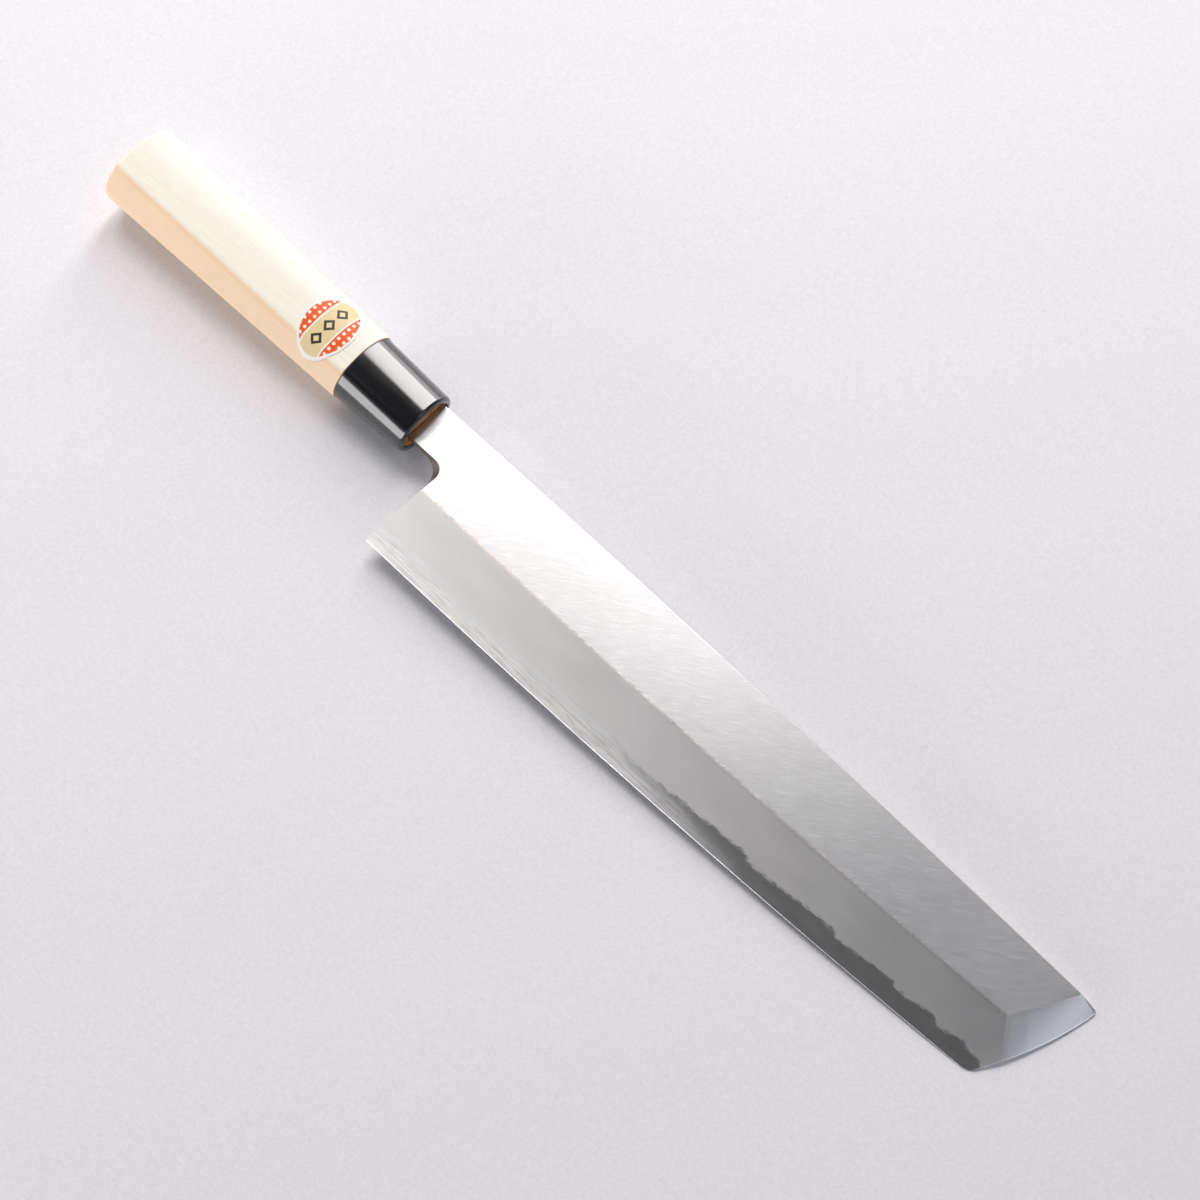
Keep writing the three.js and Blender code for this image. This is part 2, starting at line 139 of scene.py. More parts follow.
# Finer forms of the handle, for the render
GRIP_RIDGE_ROUND = 1.3  # radius along the ridge of the wood
FERRULE_RIDGE_ROUND = 6.0
SEAL_WAVES = 0.22  # unevenness of the poured seal
SEAL_LUMPS = (0.45, 0.0, 1.0), (1.3, 5.0, 1 / 3)  # as for the weld, with shares of the unevenness
SEAL_CREEP = 0.3  # how far the seal creeps up the neck and the bore

# How finely curves are stepped
NECK_STEPS = 8
EDGE_STEPS = 320
CORNER_STEPS = 20
ROLL_STEPS = 16
FACET_STEPS = 36
BEVEL_ROWS = 10
STEEL_ROWS = 6
FLAT_ROWS = 4
BACK_ROWS = 14
ROUND_STEPS = 14
SECTION_STEPS = 120
LABEL_RINGS = 14
LABEL_STEPS = 24
SEAL_RINGS = 10

# Mesh details
SMOOTH_ANGLE = math.radians(7.5)
SOFT_ANGLE = math.radians(40)
HALVINGS = 50
MERGE = 1e-7
SEAM = 0.01  # between the whole neck and the layered blade
GRAIN_MAP = "grain"
WALL_START = 12.0  # height above the edge where the bare forge skin starts
WALL_TILT = 0.9  # steepest lean of a face that still counts as a wall

# How far cutting bodies reach past what they cut
REACH = 12.0
SKIM = 0.5

BACK_LEVEL = -NECK_THICKNESS / 2
NECK_TOP = NECK_SHIFT + NECK_HEIGHT / 2
NECK_BOTTOM = NECK_SHIFT - NECK_HEIGHT / 2
TIP_CORNER_X = HEEL_GAP + EDGE_RUN
SPINE_END_X = TIP_CORNER_X + TIP_RAKE
FERRULE_FRONT_HEIGHT = NECK_HEIGHT + 2 * MOUTH_MARGIN + 2 * FERRULE_WALL
LABEL_MIDDLE = -FERRULE_LENGTH - LABEL_SETBACK
BUTT_MOUNT = Vector((-HANDLE_LENGTH, 5.0, 3.0))  # where the record's butt mount lies


# Curves and meshes

def lerp(a, b, t):
    return a + (b - a) * t


def clamp(value):
    return min(max(value, 0.0), 1.0)


def steps(count):
    return [i / count for i in range(count + 1)]


def plan(x, y):
    return Vector((x, y))


class BowedCurve:
    """A curve between two points that bows out to the right of its direction."""

    def __init__(self, start, end, bow):
        chord = (end - start).normalized()
        self.start = start
        self.control = (start + end) / 2 + plan(chord.y, -chord.x) * 2 * bow
        self.end = end

    def __call__(self, t):
        return self.start * (1 - t) ** 2 + self.control * 2 * t * (1 - t) + self.end * t ** 2


def rounded_corner(before, corner, after, radius, count):
    back = (before - corner).normalized()
    ahead = (after - corner).normalized()
    half = back.angle(ahead) / 2
    centre = corner + (back + ahead).normalized() * radius / math.sin(half)
    start = corner + back * radius / math.tan(half) - centre
    end = corner + ahead * radius / math.tan(half) - centre
    turn = math.atan2(start.x * end.y - start.y * end.x, start.dot(end))
    return [centre + Matrix.Rotation(turn * t, 2) @ start for t in steps(count)]


def share_at_y(curve, y):
    low, high = 0.0, 1.0
    for _ in range(HALVINGS):
        middle = (low + high) / 2
        low, high = (middle, high) if curve(middle).y < y else (low, middle)
    return (low + high) / 2


def knife_matrix():
    mounts = {mount["name"]: mount for mount in frame["record"]["mounts"]}
    along = -Vector(mounts["butt_end"]["axis"]).normalized()
    out = -Vector(mounts["blade_back"]["axis"])
    out = (out - along * out.dot(along)).normalized()
    turn = Matrix((along, out.cross(along), out)).transposed()
    origin = Vector(mounts["butt_end"]["pos_m"]) - turn @ (BUTT_MOUNT * MM)
    return Matrix.Translation(origin) @ turn.to_4x4()


KNIFE = knife_matrix()
TO_KNIFE = KNIFE.inverted()


def new_object(name, points, faces):
    mesh = bpy.data.meshes.new(name)
    mesh.from_pydata([KNIFE @ (point * MM) for point in points], [], faces)
    mesh.validate()
    obj = bpy.data.objects.new(name, mesh)
    bpy.context.collection.objects.link(obj)
    return obj


def loft(name, sections, closed=False):
    """A skin through sections of equal numbers of points, capped at both ends or closed on itself."""
    count = len(sections[0])
    points = [point for section in sections for point in section]
    spans = len(sections) if closed else len(sections) - 1
    faces = []
    for s in range(spans):
        low = s * count
        high = (s + 1) % len(sections) * count
        for i in range(count):
            j = (i + 1) % count
            faces.append((low + i, high + i, high + j, low + j))
    if not closed:
        faces.append(tuple(range(count)))
        faces.append(tuple(reversed(range(len(points) - count, len(points)))))
    return clean(new_object(name, points, faces))


def clean(obj):
    """Merges doubled points, drops faces that lost their area and turns the rest outwards."""
    mesh = bmesh.new()
    mesh.from_mesh(obj.data)
    bmesh.ops.remove_doubles(mesh, verts=mesh.verts, dist=MERGE)
    bmesh.ops.dissolve_degenerate(mesh, edges=mesh.edges, dist=MERGE)
    bmesh.ops.recalc_face_normals(mesh, faces=mesh.faces)
    mesh.to_mesh(obj.data)
    mesh.free()
    return obj


def combine(obj, other, operation):
    """Cuts another body out of a piece or joins it on, and removes the other body."""
    change = obj.modifiers.new(operation.lower(), "BOOLEAN")
    change.object = other
    change.operation = operation
    change.solver = "EXACT"
    scene_now = bpy.context.evaluated_depsgraph_get()
    result = bpy.data.meshes.new_from_object(obj.evaluated_get(scene_now))
    obj.modifiers.clear()
    obj.data = result
    bpy.data.objects.remove(other)
    return clean(obj)


def smooth(obj, angle=SMOOTH_ANGLE):
    obj.data.shade_smooth()
    obj.data.set_sharp_from_angle(angle=angle)
    weights = obj.modifiers.new("normals", "WEIGHTED_NORMAL")
    weights.keep_sharp = True
    return obj


def measure(obj, name, value):
    """Keeps a number for each point of a mesh, worked out from its place in millimetres."""
    layer = obj.data.attributes.new(name, "FLOAT", "POINT")
    for vertex in obj.data.vertices:
        layer.data[vertex.index].value = value(TO_KNIFE @ vertex.co / MM)


# Blade

def spine_y(x):
    u = x / SPINE_END_X
    return NECK_TOP - SPINE_FALL * u + SPINE_CROWN * 4 * u * (1 - u)


def face_level(x):
    return BACK_LEVEL + lerp(NECK_THICKNESS, TIP_THICKNESS, x / SPINE_END_X)


heel_corner = plan(HEEL_GAP, spine_y(HEEL_GAP) - HEEL_HEIGHT)
tip_corner = plan(TIP_CORNER_X, spine_y(TIP_CORNER_X) - TIP_HEIGHT)
spine_end = plan(SPINE_END_X, spine_y(SPINE_END_X))
edge_curve = BowedCurve(heel_corner, tip_corner, EDGE_BELLY)
tip_curve = BowedCurve(tip_corner, spine_end, TIP_BULGE)
facet_start = share_at_y(tip_curve, tip_corner.y + TIP_RIDGE_RISE)
shinogi_end_y = tip_corner.y + BEVEL_TIP
shinogi_end_x = tip_curve(share_at_y(tip_curve, shinogi_end_y)).x - TIP_FACET_SHINOGI
shinogi_end = plan(shinogi_end_x, shinogi_end_y)
shinogi_start = plan(HEEL_GAP, heel_corner.y + BEVEL_HEEL)
shinogi_curve = BowedCurve(shinogi_start, shinogi_end, EDGE_BELLY * BEVEL_TIP / BEVEL_HEEL)
facet_top = plan(SPINE_END_X - TIP_FACET_SPINE, spine_y(SPINE_END_X - TIP_FACET_SPINE))
tip_arc = rounded_corner(edge_curve.control, tip_corner, tip_curve.control, TIP_ROUND, CORNER_STEPS)


def edge_y(x):
    return edge_curve((x - HEEL_GAP) / EDGE_RUN).y


def shinogi_y(x):
    return shinogi_curve((x - HEEL_GAP) / (shinogi_end.x - HEEL_GAP)).y


def weld_rise(x, trail=0.0):
    """Height of the weld line above the edge: it climbs slowly and drops back, as it was hammered."""
    climb = math.log(max(WELD_GATHER - x, 1.0) / WELD_FIRST) / math.log(WELD_PACE) % 1
    wave = min(climb / (1 - WELD_DROP), (1 - climb) / WELD_DROP)
    ripple = sum(height * noise.noise(Vector((x * rate, at, 0.0))) for rate, at, height in WELD_RIPPLES)
    ahead = TIP_CORNER_X + trail - x
    sink = lerp(WELD_SUNK, 1, clamp(ahead / WELD_SINK)) * clamp(ahead / WELD_RUNOUT) ** 0.5
    return (WELD_RISE + WELD_CLIMB * wave + ripple) * sink


class Section:
    """One section of the blade, from the outline up the bevel and across the flat to the spine."""

    def __init__(self, outline, land, top, swell, spine_x):
        self.outline = outline
        self.land = land
        self.top = top
        self.spine = Vector((spine_x, spine_y(spine_x), face_level(spine_x)))
        self.swell = swell
        self.width = (top - outline).length
        self.micro = MICRO_BEVEL / self.width * clamp(2 - land / EDGE_LAND)
        self.weld = max(weld_rise(outline.x) / self.width, self.micro)
        self.level = self.bevel(self.weld).z if self.weld > 0 else BACK_LEVEL + EDGE_LAND

    def bevel(self, share):
        point = self.outline.lerp(self.top, share)
        rise = lerp(self.land, face_level(self.top.x) - BACK_LEVEL, share)
        return Vector((*point, BACK_LEVEL + rise + self.swell * 4 * share * (1 - share)))

    def on_outline(self, level):
        return Vector((*self.outline, level))

    def on_spine(self, level):
        return Vector((self.spine.x, self.spine.y, level))

    def flat(self, share):
        start = Vector((*self.top, face_level(self.top.x)))
        return start.lerp(self.spine - Vector((0, SPINE_ROUNDING, 0)), share)

    def face(self):
        """From the weld line up over the softened ridge to the spine's rounded corner."""
        soft = min(SHINOGI_SOFT / self.width, SHINOGI_SOFT_LIMIT)
        length = max((self.flat(1) - self.flat(0)).length, MERGE)
        ease = min(SHINOGI_SOFT / length, 1.0)
        rows = [self.bevel(lerp(self.weld, 1 - soft, t)) for t in steps(BEVEL_ROWS)]
        crest = self.bevel(1 - soft) / 4 + self.flat(0) / 2 + self.flat(ease) / 4
        flat = [self.flat(lerp(ease, 1, t)) for t in steps(FLAT_ROWS)]
        middle = self.spine - Vector((0, SPINE_ROUNDING, SPINE_ROUNDING))
        turns = [t * math.pi / 2 for t in steps(ROUND_STEPS)][1:]
        corner = [middle + Vector((0, math.sin(a), math.cos(a))) * SPINE_ROUNDING for a in turns]
        return rows + [crest] + flat + corner

    def iron(self):
        start = self.bevel(self.weld) if self.weld > 0 else self.on_outline(self.level)
        points = [start] + self.face() + [self.on_spine(self.level)]
        if self.outline.x < STEEL_START:
            points[0] = self.on_outline(BACK_LEVEL)
            points[-1].z = BACK_LEVEL
        return points

    def steel(self):
        foot = self.on_outline(BACK_LEVEL)
        land = self.on_outline(BACK_LEVEL + MICRO_LAND)
        rows = [self.bevel(lerp(self.micro, self.weld, t)) for t in steps(STEEL_ROWS)]
        if self.weld == 0:
            rows = [self.on_outline(self.level)] * len(rows)
        seam = [rows[-1] - Vector((0, 0, WELD_GAP)), self.on_spine(self.level - WELD_GAP)]
        low = self.on_spine(BACK_LEVEL)
        back = [low.lerp(foot, t) for t in steps(BACK_ROWS)][:-1]
        return [foot, land] + rows + seam + [hollowed(point) for point in back]


def hollowed(point):
    """Lifts a point of the back into the shallow hollow inside the flat rim."""
    rear = HEEL_GAP + HEEL_LEAN + HOLLOW_ENDS
    v = (point.y - edge_y(point.x) - HOLLOW_RIM) / (spine_y(point.x) - edge_y(point.x) - 2 * HOLLOW_RIM)
    front = lerp(TIP_CORNER_X, SPINE_END_X, clamp(v)) - HOLLOW_ENDS
    u = (point.x - rear) / (front - rear)
    if not (0 < u < 1 and 0 < v < 1):
        return point
    fade = 1 - (2 * u - 1) ** HOLLOW_SQUARENESS
    return point + Vector((0, 0, HOLLOW_DEPTH * fade * (1 - (2 * v - 1) ** 2)))


def facet_outline():
    corner = rounded_corner(tip_curve.control, spine_end, facet_top, SPINE_ROUND, ROUND_STEPS)
    end = share_at_y(tip_curve, corner[0].y)
    run = [tip_curve(lerp(facet_start, end, t)) for t in steps(FACET_STEPS)]
    return run + corner[1:]


def bevel_thickness(point):
    """Thickness of the blade where the main bevel runs on to the tip end."""
    share = (point.y - edge_y(point.x)) / (shinogi_end.y - edge_y(shinogi_end.x))
    return lerp(EDGE_LAND, face_level(shinogi_end.x) - BACK_LEVEL, share)


def tip_sections():
    corner_share = share_at_y(tip_curve, tip_arc[-1].y)
    roll = [tip_curve(lerp(corner_share, facet_start, t)) for t in steps(ROLL_STEPS)]
    runs = [(point, bevel_thickness(point), shinogi_end, -BEVEL_DISH) for point in tip_arc + roll[1:]]
    facet = facet_outline()
    end = plan(facet_top.x, facet_top.y - SPINE_ROUNDING)
    ridge_land = bevel_thickness(facet[0])
    for point in facet[1:]:
        t = (point.y - facet[0].y) / (facet[-1].y - facet[0].y)
        swell = lerp(-BEVEL_DISH, FACET_CROWN, clamp(t / FACET_EASE))
        runs.append((point, lerp(ridge_land, TIP_LAND, t), shinogi_end.lerp(end, t), swell))
    spine_way = [lerp(shinogi_end.x, facet_top.x, t) for t in steps(len(runs) - 1)]
    return [Section(*run, spine_x) for run, spine_x in zip(runs, spine_way)]


def edge_section(x):
    """The section whose outline lies at a given X on the edge."""
    t = (x + NECK_INSET) / (tip_arc[0].x + NECK_INSET)
    rear = (-NECK_INSET - HEEL_GAP) / EDGE_RUN
    outline = edge_curve((x - HEEL_GAP) / EDGE_RUN)
    top = shinogi_curve(lerp(rear, 1, t))
    return Section(outline, EDGE_LAND, top, -BEVEL_DISH, lerp(-NECK_INSET, shinogi_end.x, t))


def notch_cutter():
    rear = plan(-NECK_INSET - REACH, NECK_BOTTOM)

    def outline_at(z):
        share = (z - BACK_LEVEL) / NECK_THICKNESS
        corner = plan(HEEL_GAP + HEEL_LEAN - HEEL_FLARE * (1 - share), NECK_BOTTOM)
        low = heel_corner + (heel_corner - corner).normalized() * REACH
        radius = lerp(NOTCH_ROUND_BACK, NOTCH_ROUND_FACE, share)
        arc = rounded_corner(rear, corner, low, radius, 3 * ROUND_STEPS)
        return [Vector((*point, z)) for point in [plan(rear.x, low.y), rear] + arc + [low]]

    return loft("notch", [outline_at(BACK_LEVEL - SKIM), outline_at(BACK_LEVEL + NECK_THICKNESS + SKIM)])


def neck_section(x, height, thickness):
    corners = [(-0.5, -0.5), (0.5, -0.5), (0.5, 0.5), (-0.5, 0.5)]
    return [Vector((x, NECK_SHIFT + y * height, z * thickness)) for y, z in corners]


def tang_body(clearance):
    grow = 2 * clearance
    step = grow - 2 * TANG_SHOULDER
    return loft("tang", [
        neck_section(-TANG_LENGTH - clearance, TANG_END_HEIGHT + grow, TANG_END_THICKNESS + grow),
        neck_section(SKIM - NECK_INSET, NECK_HEIGHT + step, NECK_THICKNESS + step),
    ])


def neck_slot(clearance):
    height, thickness = NECK_HEIGHT + 2 * clearance, NECK_THICKNESS + 2 * clearance
    ends = (-NECK_INSET - clearance, REACH)
    return loft("neck_slot", [neck_section(x, height, thickness) for x in ends])


def facet_share(point):
    """How far a point lies on the tip facet: 0 on the bevel and the flat, 1 on the facet."""
    foot = tip_curve(facet_start)
    if point.y > shinogi_end.y:
        line, start = plan(facet_top.x, facet_top.y) - shinogi_end, shinogi_end
    else:
        line, start = shinogi_end - foot, foot
    offset = plan(point.x, point.y) - start
    side = (offset.x * line.y - offset.y * line.x) / line.length
    return clamp(side / FACET_BLEND + FACET_LEAD)


def inside_tip(point):
    """Distance of a point from the tip end, along the blade."""
    if point.x < TIP_CORNER_X - TIP_FACET_SHINOGI:
        return TIP_FACET_SHINOGI
    return tip_curve(share_at_y(tip_curve, point.y)).x - point.x


def mark_walls(obj):
    """Gives the walls between neck and heel the second material."""
    turn = TO_KNIFE.to_3x3()
    for face in obj.data.polygons:
        middle = TO_KNIFE @ face.center / MM
        upright = abs((turn @ face.normal).z) < WALL_TILT
        behind = middle.x < HEEL_GAP + HEEL_LEAN + SKIM
        if upright and behind and edge_y(HEEL_GAP) + WALL_START < middle.y < NECK_TOP - SKIM:
            face.material_index = 1


def lay_grain(obj):
    """A map of the blade whose first axis runs from edge to spine, for the direction of the grinding."""
    grain = obj.data.uv_layers.new(name=GRAIN_MAP)
    places = [TO_KNIFE @ vertex.co for vertex in obj.data.vertices]
    for loop in obj.data.loops:
        at = places[loop.vertex_index]
        grain.data[loop.index].uv = (at.y, -at.x)


def build_blade():
    neck = [edge_section(lerp(-NECK_INSET, STEEL_START - SEAM, t)) for t in steps(NECK_STEPS)]
    edge = [edge_section(lerp(STEEL_START, tip_arc[0].x, t)) for t in steps(EDGE_STEPS)]
    front = edge + tip_sections()[1:]
    iron = loft("blade_iron_body", [part.iron() for part in neck + front])
    iron = combine(iron, notch_cutter(), "DIFFERENCE")
    iron = combine(iron, tang_body(0), "UNION")
    steel = loft("edge_steel_layer", [part.steel() for part in front])
    steel = combine(steel, notch_cutter(), "DIFFERENCE")
    for piece in (iron, steel):
        measure(piece, "rise", lambda p: p.y - edge_y(p.x))
        measure(piece, "grind", lambda p: p.y - shinogi_y(p.x))
        measure(piece, "weld", lambda p: p.y - edge_y(p.x) - weld_rise(p.x, WELD_TRAIL))
        measure(piece, "facet", facet_share)
        measure(piece, "off_spine", lambda p: spine_y(p.x) - p.y)
        measure(piece, "off_tip", inside_tip)
        mark_walls(piece)
        lay_grain(piece)
        smooth(piece)
    return iron, steel


# Handle

def section(x, outline):
    return [Vector((x, point.x, point.y)) for point in outline]


def ridged_oval(height, thickness, grow, soft):
    """An oval whose two flat runs meet in a softened ridge on the bevel side."""
    a = height / 2 + grow
    b = thickness / 2 + grow
    ridge = plan(-RIDGE_OFFSET, b * math.sqrt(1 - (RIDGE_OFFSET / a) ** 2) + RIDGE_RISE)
    angle = math.atan2(ridge.y / b, ridge.x / a)
    flat = math.acos(1 / math.hypot(ridge.x / a, ridge.y / b))
    turns = [lerp(angle + flat, angle - flat + math.tau, t) for t in steps(SECTION_STEPS)]
    points = [plan(a * math.cos(turn), b * math.sin(turn)) for turn in turns]
    return rounded_corner(points[-1], ridge, points[0], soft, ROUND_STEPS) + points


def oval_facing(outline, height, thickness, grow):
    """A plain oval with one point for each point of an outline round it."""
    a = height / 2 + grow
    b = thickness / 2 + grow
    angles = [math.atan2(point.y / b, point.x / a) for point in outline]
    return [plan(a * math.cos(angle), b * math.sin(angle)) for angle in angles]


def grip_outline(x, grow):
    t = (x + HANDLE_LENGTH) / (HANDLE_LENGTH - FERRULE_LENGTH)
    height = lerp(BUTT_HEIGHT, FRONT_HEIGHT, t)
    return ridged_oval(height, lerp(BUTT_THICKNESS, FRONT_THICKNESS, t), grow, GRIP_RIDGE_ROUND)


def ferrule_size(x):
    t = (x + FERRULE_LENGTH) / FERRULE_LENGTH
    height = lerp(FRONT_HEIGHT - 2 * FERRULE_STEP, FERRULE_FRONT_HEIGHT, t)
    return height, lerp(FRONT_THICKNESS - 2 * FERRULE_STEP, FERRULE_FRONT_THICKNESS, t)


def ferrule_outline(x, grow):
    return ridged_oval(*ferrule_size(x), grow, FERRULE_RIDGE_ROUND)


def bore_outline(x, grow):
    return oval_facing(ferrule_outline(x, 0), *ferrule_size(x), grow - FERRULE_WALL)


def rounded_rim(outline_at, end_x, inward, radius):
    rim = []
    for t in steps(ROUND_STEPS):
        x = end_x + inward * radius * (1 - math.cos(t * math.pi / 2))
        rim.append(section(x, outline_at(x, radius * (math.sin(t * math.pi / 2) - 1))))
    return rim


def build_grip():
    butt = rounded_rim(grip_outline, -HANDLE_LENGTH, 1, BUTT_ROUND)
    front = rounded_rim(grip_outline, -FERRULE_LENGTH, -1, FRONT_ROUND)[::-1]
    tenon_end = -MOUTH_DEPTH - SEAL_DEPTH - JOINT_CLEARANCE
    tenon = [section(x, bore_outline(x, -TENON_CLEARANCE)) for x in (-FERRULE_LENGTH, tenon_end)]
    grip = loft("grip_wood", butt + front + tenon)
    grip = combine(grip, tang_body(SOCKET_CLEARANCE), "DIFFERENCE")
    grip = combine(grip, neck_slot(SOCKET_CLEARANCE), "DIFFERENCE")
    measure(grip, "below", lambda p: -RIDGE_OFFSET - p.y)
    return smooth(grip)


def build_ferrule():
    rear = -FERRULE_LENGTH + JOINT_CLEARANCE
    lip = rounded_rim(ferrule_outline, 0, -1, LIP_ROUND)[::-1]
    mouth = rounded_rim(lambda x, grow: bore_outline(x, -grow), 0, -1, LIP_FLARE)
    inside = [section(rear, bore_outline(rear, 0))]
    skin = [section(rear, ferrule_outline(rear, 0))] + lip + mouth + inside
    return smooth(loft("ferrule_ring", skin, closed=True))


def round_bore(x, clearance, count):
    """Points round the bore, starting from its spine side."""
    a, b = (size / 2 - clearance - FERRULE_WALL for size in ferrule_size(x))
    angles = [math.tau * i / count for i in range(count)]
    return [plan(a * math.cos(angle), b * math.sin(angle)) for angle in angles]


def round_neck(clearance, count):
    """Evenly spaced points round the neck, starting from the middle of its spine side."""
    low, high = NECK_BOTTOM - clearance, NECK_TOP + clearance
    half = NECK_THICKNESS / 2 + clearance
    turns = [(high, 0), (high, half), (low, half), (low, -half), (high, -half), (high, 0)]
    corners = [plan(*turn) for turn in turns]
    lengths = [(b - a).length for a, b in zip(corners, corners[1:])]
    points = []
    for i in range(count):
        way = sum(lengths) * i / count
        leg = 0
        while way > lengths[leg]:
            way -= lengths[leg]
            leg += 1
        points.append(corners[leg].lerp(corners[leg + 1], way / lengths[leg]))
    return points


def build_seal():
    """The poured seal: a wavy front that creeps up the neck and the bore, and a plain rear."""
    inner = round_neck(JOINT_CLEARANCE, SECTION_STEPS)
    outer = round_bore(-MOUTH_DEPTH, TENON_CLEARANCE, SECTION_STEPS)
    skin = []
    for t in steps(SEAL_RINGS):
        ring = []
        for start, end in zip(inner, outer):
            point = start.lerp(end, t)
            lump = sum(share * noise.noise(Vector((*point, at)) * rate) for rate, at, share in SEAL_LUMPS)
            creep = SEAL_CREEP * (2 * t - 1) ** 4
            ring.append(Vector((-MOUTH_DEPTH + SEAL_WAVES * lump + creep, *point)))
        skin.append(ring)
    rear_x = -MOUTH_DEPTH - SEAL_DEPTH
    rear = [round_bore(rear_x, TENON_CLEARANCE, SECTION_STEPS), inner]
    seal = loft("seal_resin", skin + [section(rear_x, outline) for outline in rear], closed=True)
    half = NECK_THICKNESS / 2
    measure(seal, "off_neck", lambda p: math.hypot(max(abs(p.y - NECK_SHIFT) - NECK_HEIGHT / 2, 0),
                                                   max(abs(p.z) - half, 0)))
    return smooth(seal, SOFT_ANGLE)


def skin_height(outline, y):
    """Height of the upper side of a section at a given Y."""
    upper = sorted((point.x, point.y) for point in outline if point.y > 0)
    for (y_a, z_a), (y_b, z_b) in zip(upper, upper[1:]):
        if y_a <= y <= y_b:
            return lerp(z_a, z_b, (y - y_a) / max(y_b - y_a, MERGE))
    return upper[0][1]


def across_skin(outline, y):
    """Distance over the upper side of a section from the label's middle, towards the spine."""
    low, high = sorted((y, 0.0))
    way = [lerp(low, high, t) for t in steps(LABEL_STEPS)]
    points = [plan(at, skin_height(outline, at)) for at in way]
    length = sum((b - a).length for a, b in zip(points, points[1:]))
    return math.copysign(length, y)


def build_label():
    count = SECTION_STEPS
    top, under = [], []
    for r in steps(LABEL_RINGS)[1:]:
        for sheet, grow in ((top, LABEL_CLEARANCE + LABEL_THICKNESS), (under, LABEL_CLEARANCE)):
            ring = []
            for i in range(count):
                angle = math.tau * i / count
                x = LABEL_MIDDLE + r * LABEL_LENGTH / 2 * math.cos(angle)
                y = r * LABEL_WIDTH / 2 * math.sin(angle)
                ring.append(Vector((x, y, skin_height(grip_outline(x, grow), y))))
            sheet.append(ring)
    label = loft("label_sheet", top + under[::-1])
    outline = grip_outline(LABEL_MIDDLE, LABEL_CLEARANCE)
    measure(label, "label_x", lambda p: p.x - LABEL_MIDDLE)
    measure(label, "label_y", lambda p: across_skin(outline, p.y))
    return smooth(label)


# Materials
#
# A pattern is noise: its rate per millimetre along X, Y and Z, its detail and its roughness.
# A ramp is a range over which a value rises smoothly from 0 to 1, or between two numbers that follow.
# A peak is a value that gives 1, then how far off it gives 0 and how far off it still gives 1.
# A pair of colours or numbers is for the low and the high end of a value.
# A layer is how much of a colour lies over the others where its mask is 1, and the colour.

class Value:
    """A number or a colour that a node gives."""

    def __init__(self, tree, socket):
        self.tree = tree
        self.socket = socket

    def math(self, operation, *others):
        return add(self.tree, "Math", dict(enumerate((self, *others))), operation=operation)

    __add__ = partialmethod(math, "ADD")
    __sub__ = partialmethod(math, "SUBTRACT")
    __mul__ = partialmethod(math, "MULTIPLY")
    __truediv__ = partialmethod(math, "DIVIDE")
    __mod__ = partialmethod(math, "MODULO")
    __abs__ = partialmethod(math, "ABSOLUTE")

    def ramp(self, low, high, to_low=0.0, to_high=1.0):
        inputs = {0: self, 1: low, 2: high, 3: to_low, 4: to_high}
        return add(self.tree, "MapRange", inputs, interpolation_type="SMOOTHSTEP")

    def border(self, edge, blur):
        return self.ramp(edge - blur, edge + blur)

    def peak(self, centre, far, close):
        return abs(self - centre).ramp(far, close)

    def frayed(self, pattern_value, reach):
        """Moved to and fro by noise."""
        return self + (pattern_value - 0.5) * reach

    def mix(self, a, b):
        """Two numbers, mixed by this share."""
        return add(self.tree, "Mix", {"Factor": self, 2: a, 3: b}, data_type="FLOAT")

    def blend(self, a, b):
        """Two colours, mixed by this share."""
        a, b = (colour if isinstance(colour, Value) else (*colour, 1) for colour in (a, b))
        return add(self.tree, "Mix", {"Factor": self, 6: a, 7: b}, 2, data_type="RGBA")


def feed(tree, socket, value):
    """Links a value to a socket, or sets the socket to a fixed one."""
    if isinstance(value, Value):
        tree.links.new(value.socket, socket)
    else:
        socket.default_value = value


def add(tree, kind, inputs=None, output=0, **settings):
    """Adds a shader node and gives one of its outputs."""
    node = tree.nodes.new("ShaderNode" + kind)
    for name, value in settings.items():
        setattr(node, name, value)
    for key, value in (inputs or {}).items():
        feed(tree, node.inputs[key], value)
    return Value(tree, node.outputs[output])


def overlay(tone, *layers):
    for mask, (share, colour) in layers:
        tone = (mask * share).blend(tone, colour)
    return tone


def attribute(tree, name):
    return add(tree, "Attribute", output="Fac", attribute_name=name)


def place(tree, scale=(1, 1, 1), turn=0.0):
    """Coordinates in the knife's own frame in millimetres, turned about Z and then scaled."""
    own = add(tree, "TexCoord", output="Object")
    frame_inputs = {"Vector": own, "Location": KNIFE.translation, "Rotation": KNIFE.to_euler()}
    local = add(tree, "Mapping", frame_inputs, vector_type="TEXTURE")
    turned = add(tree, "Mapping", {"Vector": local, "Rotation": (0, 0, turn)})
    return add(tree, "Mapping", {"Vector": turned, "Scale": [factor / MM for factor in scale]})


def along_knife(tree):
    return add(tree, "SeparateXYZ", {0: place(tree)}, "X")


def speckle(tree, pattern, turn=0.0):
    scale, detail, roughness = pattern
    inputs = {"Vector": place(tree, scale, turn), "Scale": 1.0, "Detail": detail, "Roughness": roughness}
    return add(tree, "TexNoise", inputs, "Fac")


def bump(height, depth, strength=1.0):
    """A bump whose full height is given in millimetres."""
    return add(height.tree, "Bump", {"Height": height, "Distance": depth * MM, "Strength": strength})


def material(name, recipe):
    made = bpy.data.materials.new(name)
    made.use_nodes = True
    shader = made.node_tree.nodes["Principled BSDF"]
    for socket, value in recipe(made.node_tree).items():
        feed(made.node_tree, shader.inputs[socket], value)
    return made


# Metal of the blade: each finish has a tone, a roughness, an anisotropy ("spread") and a height for bump

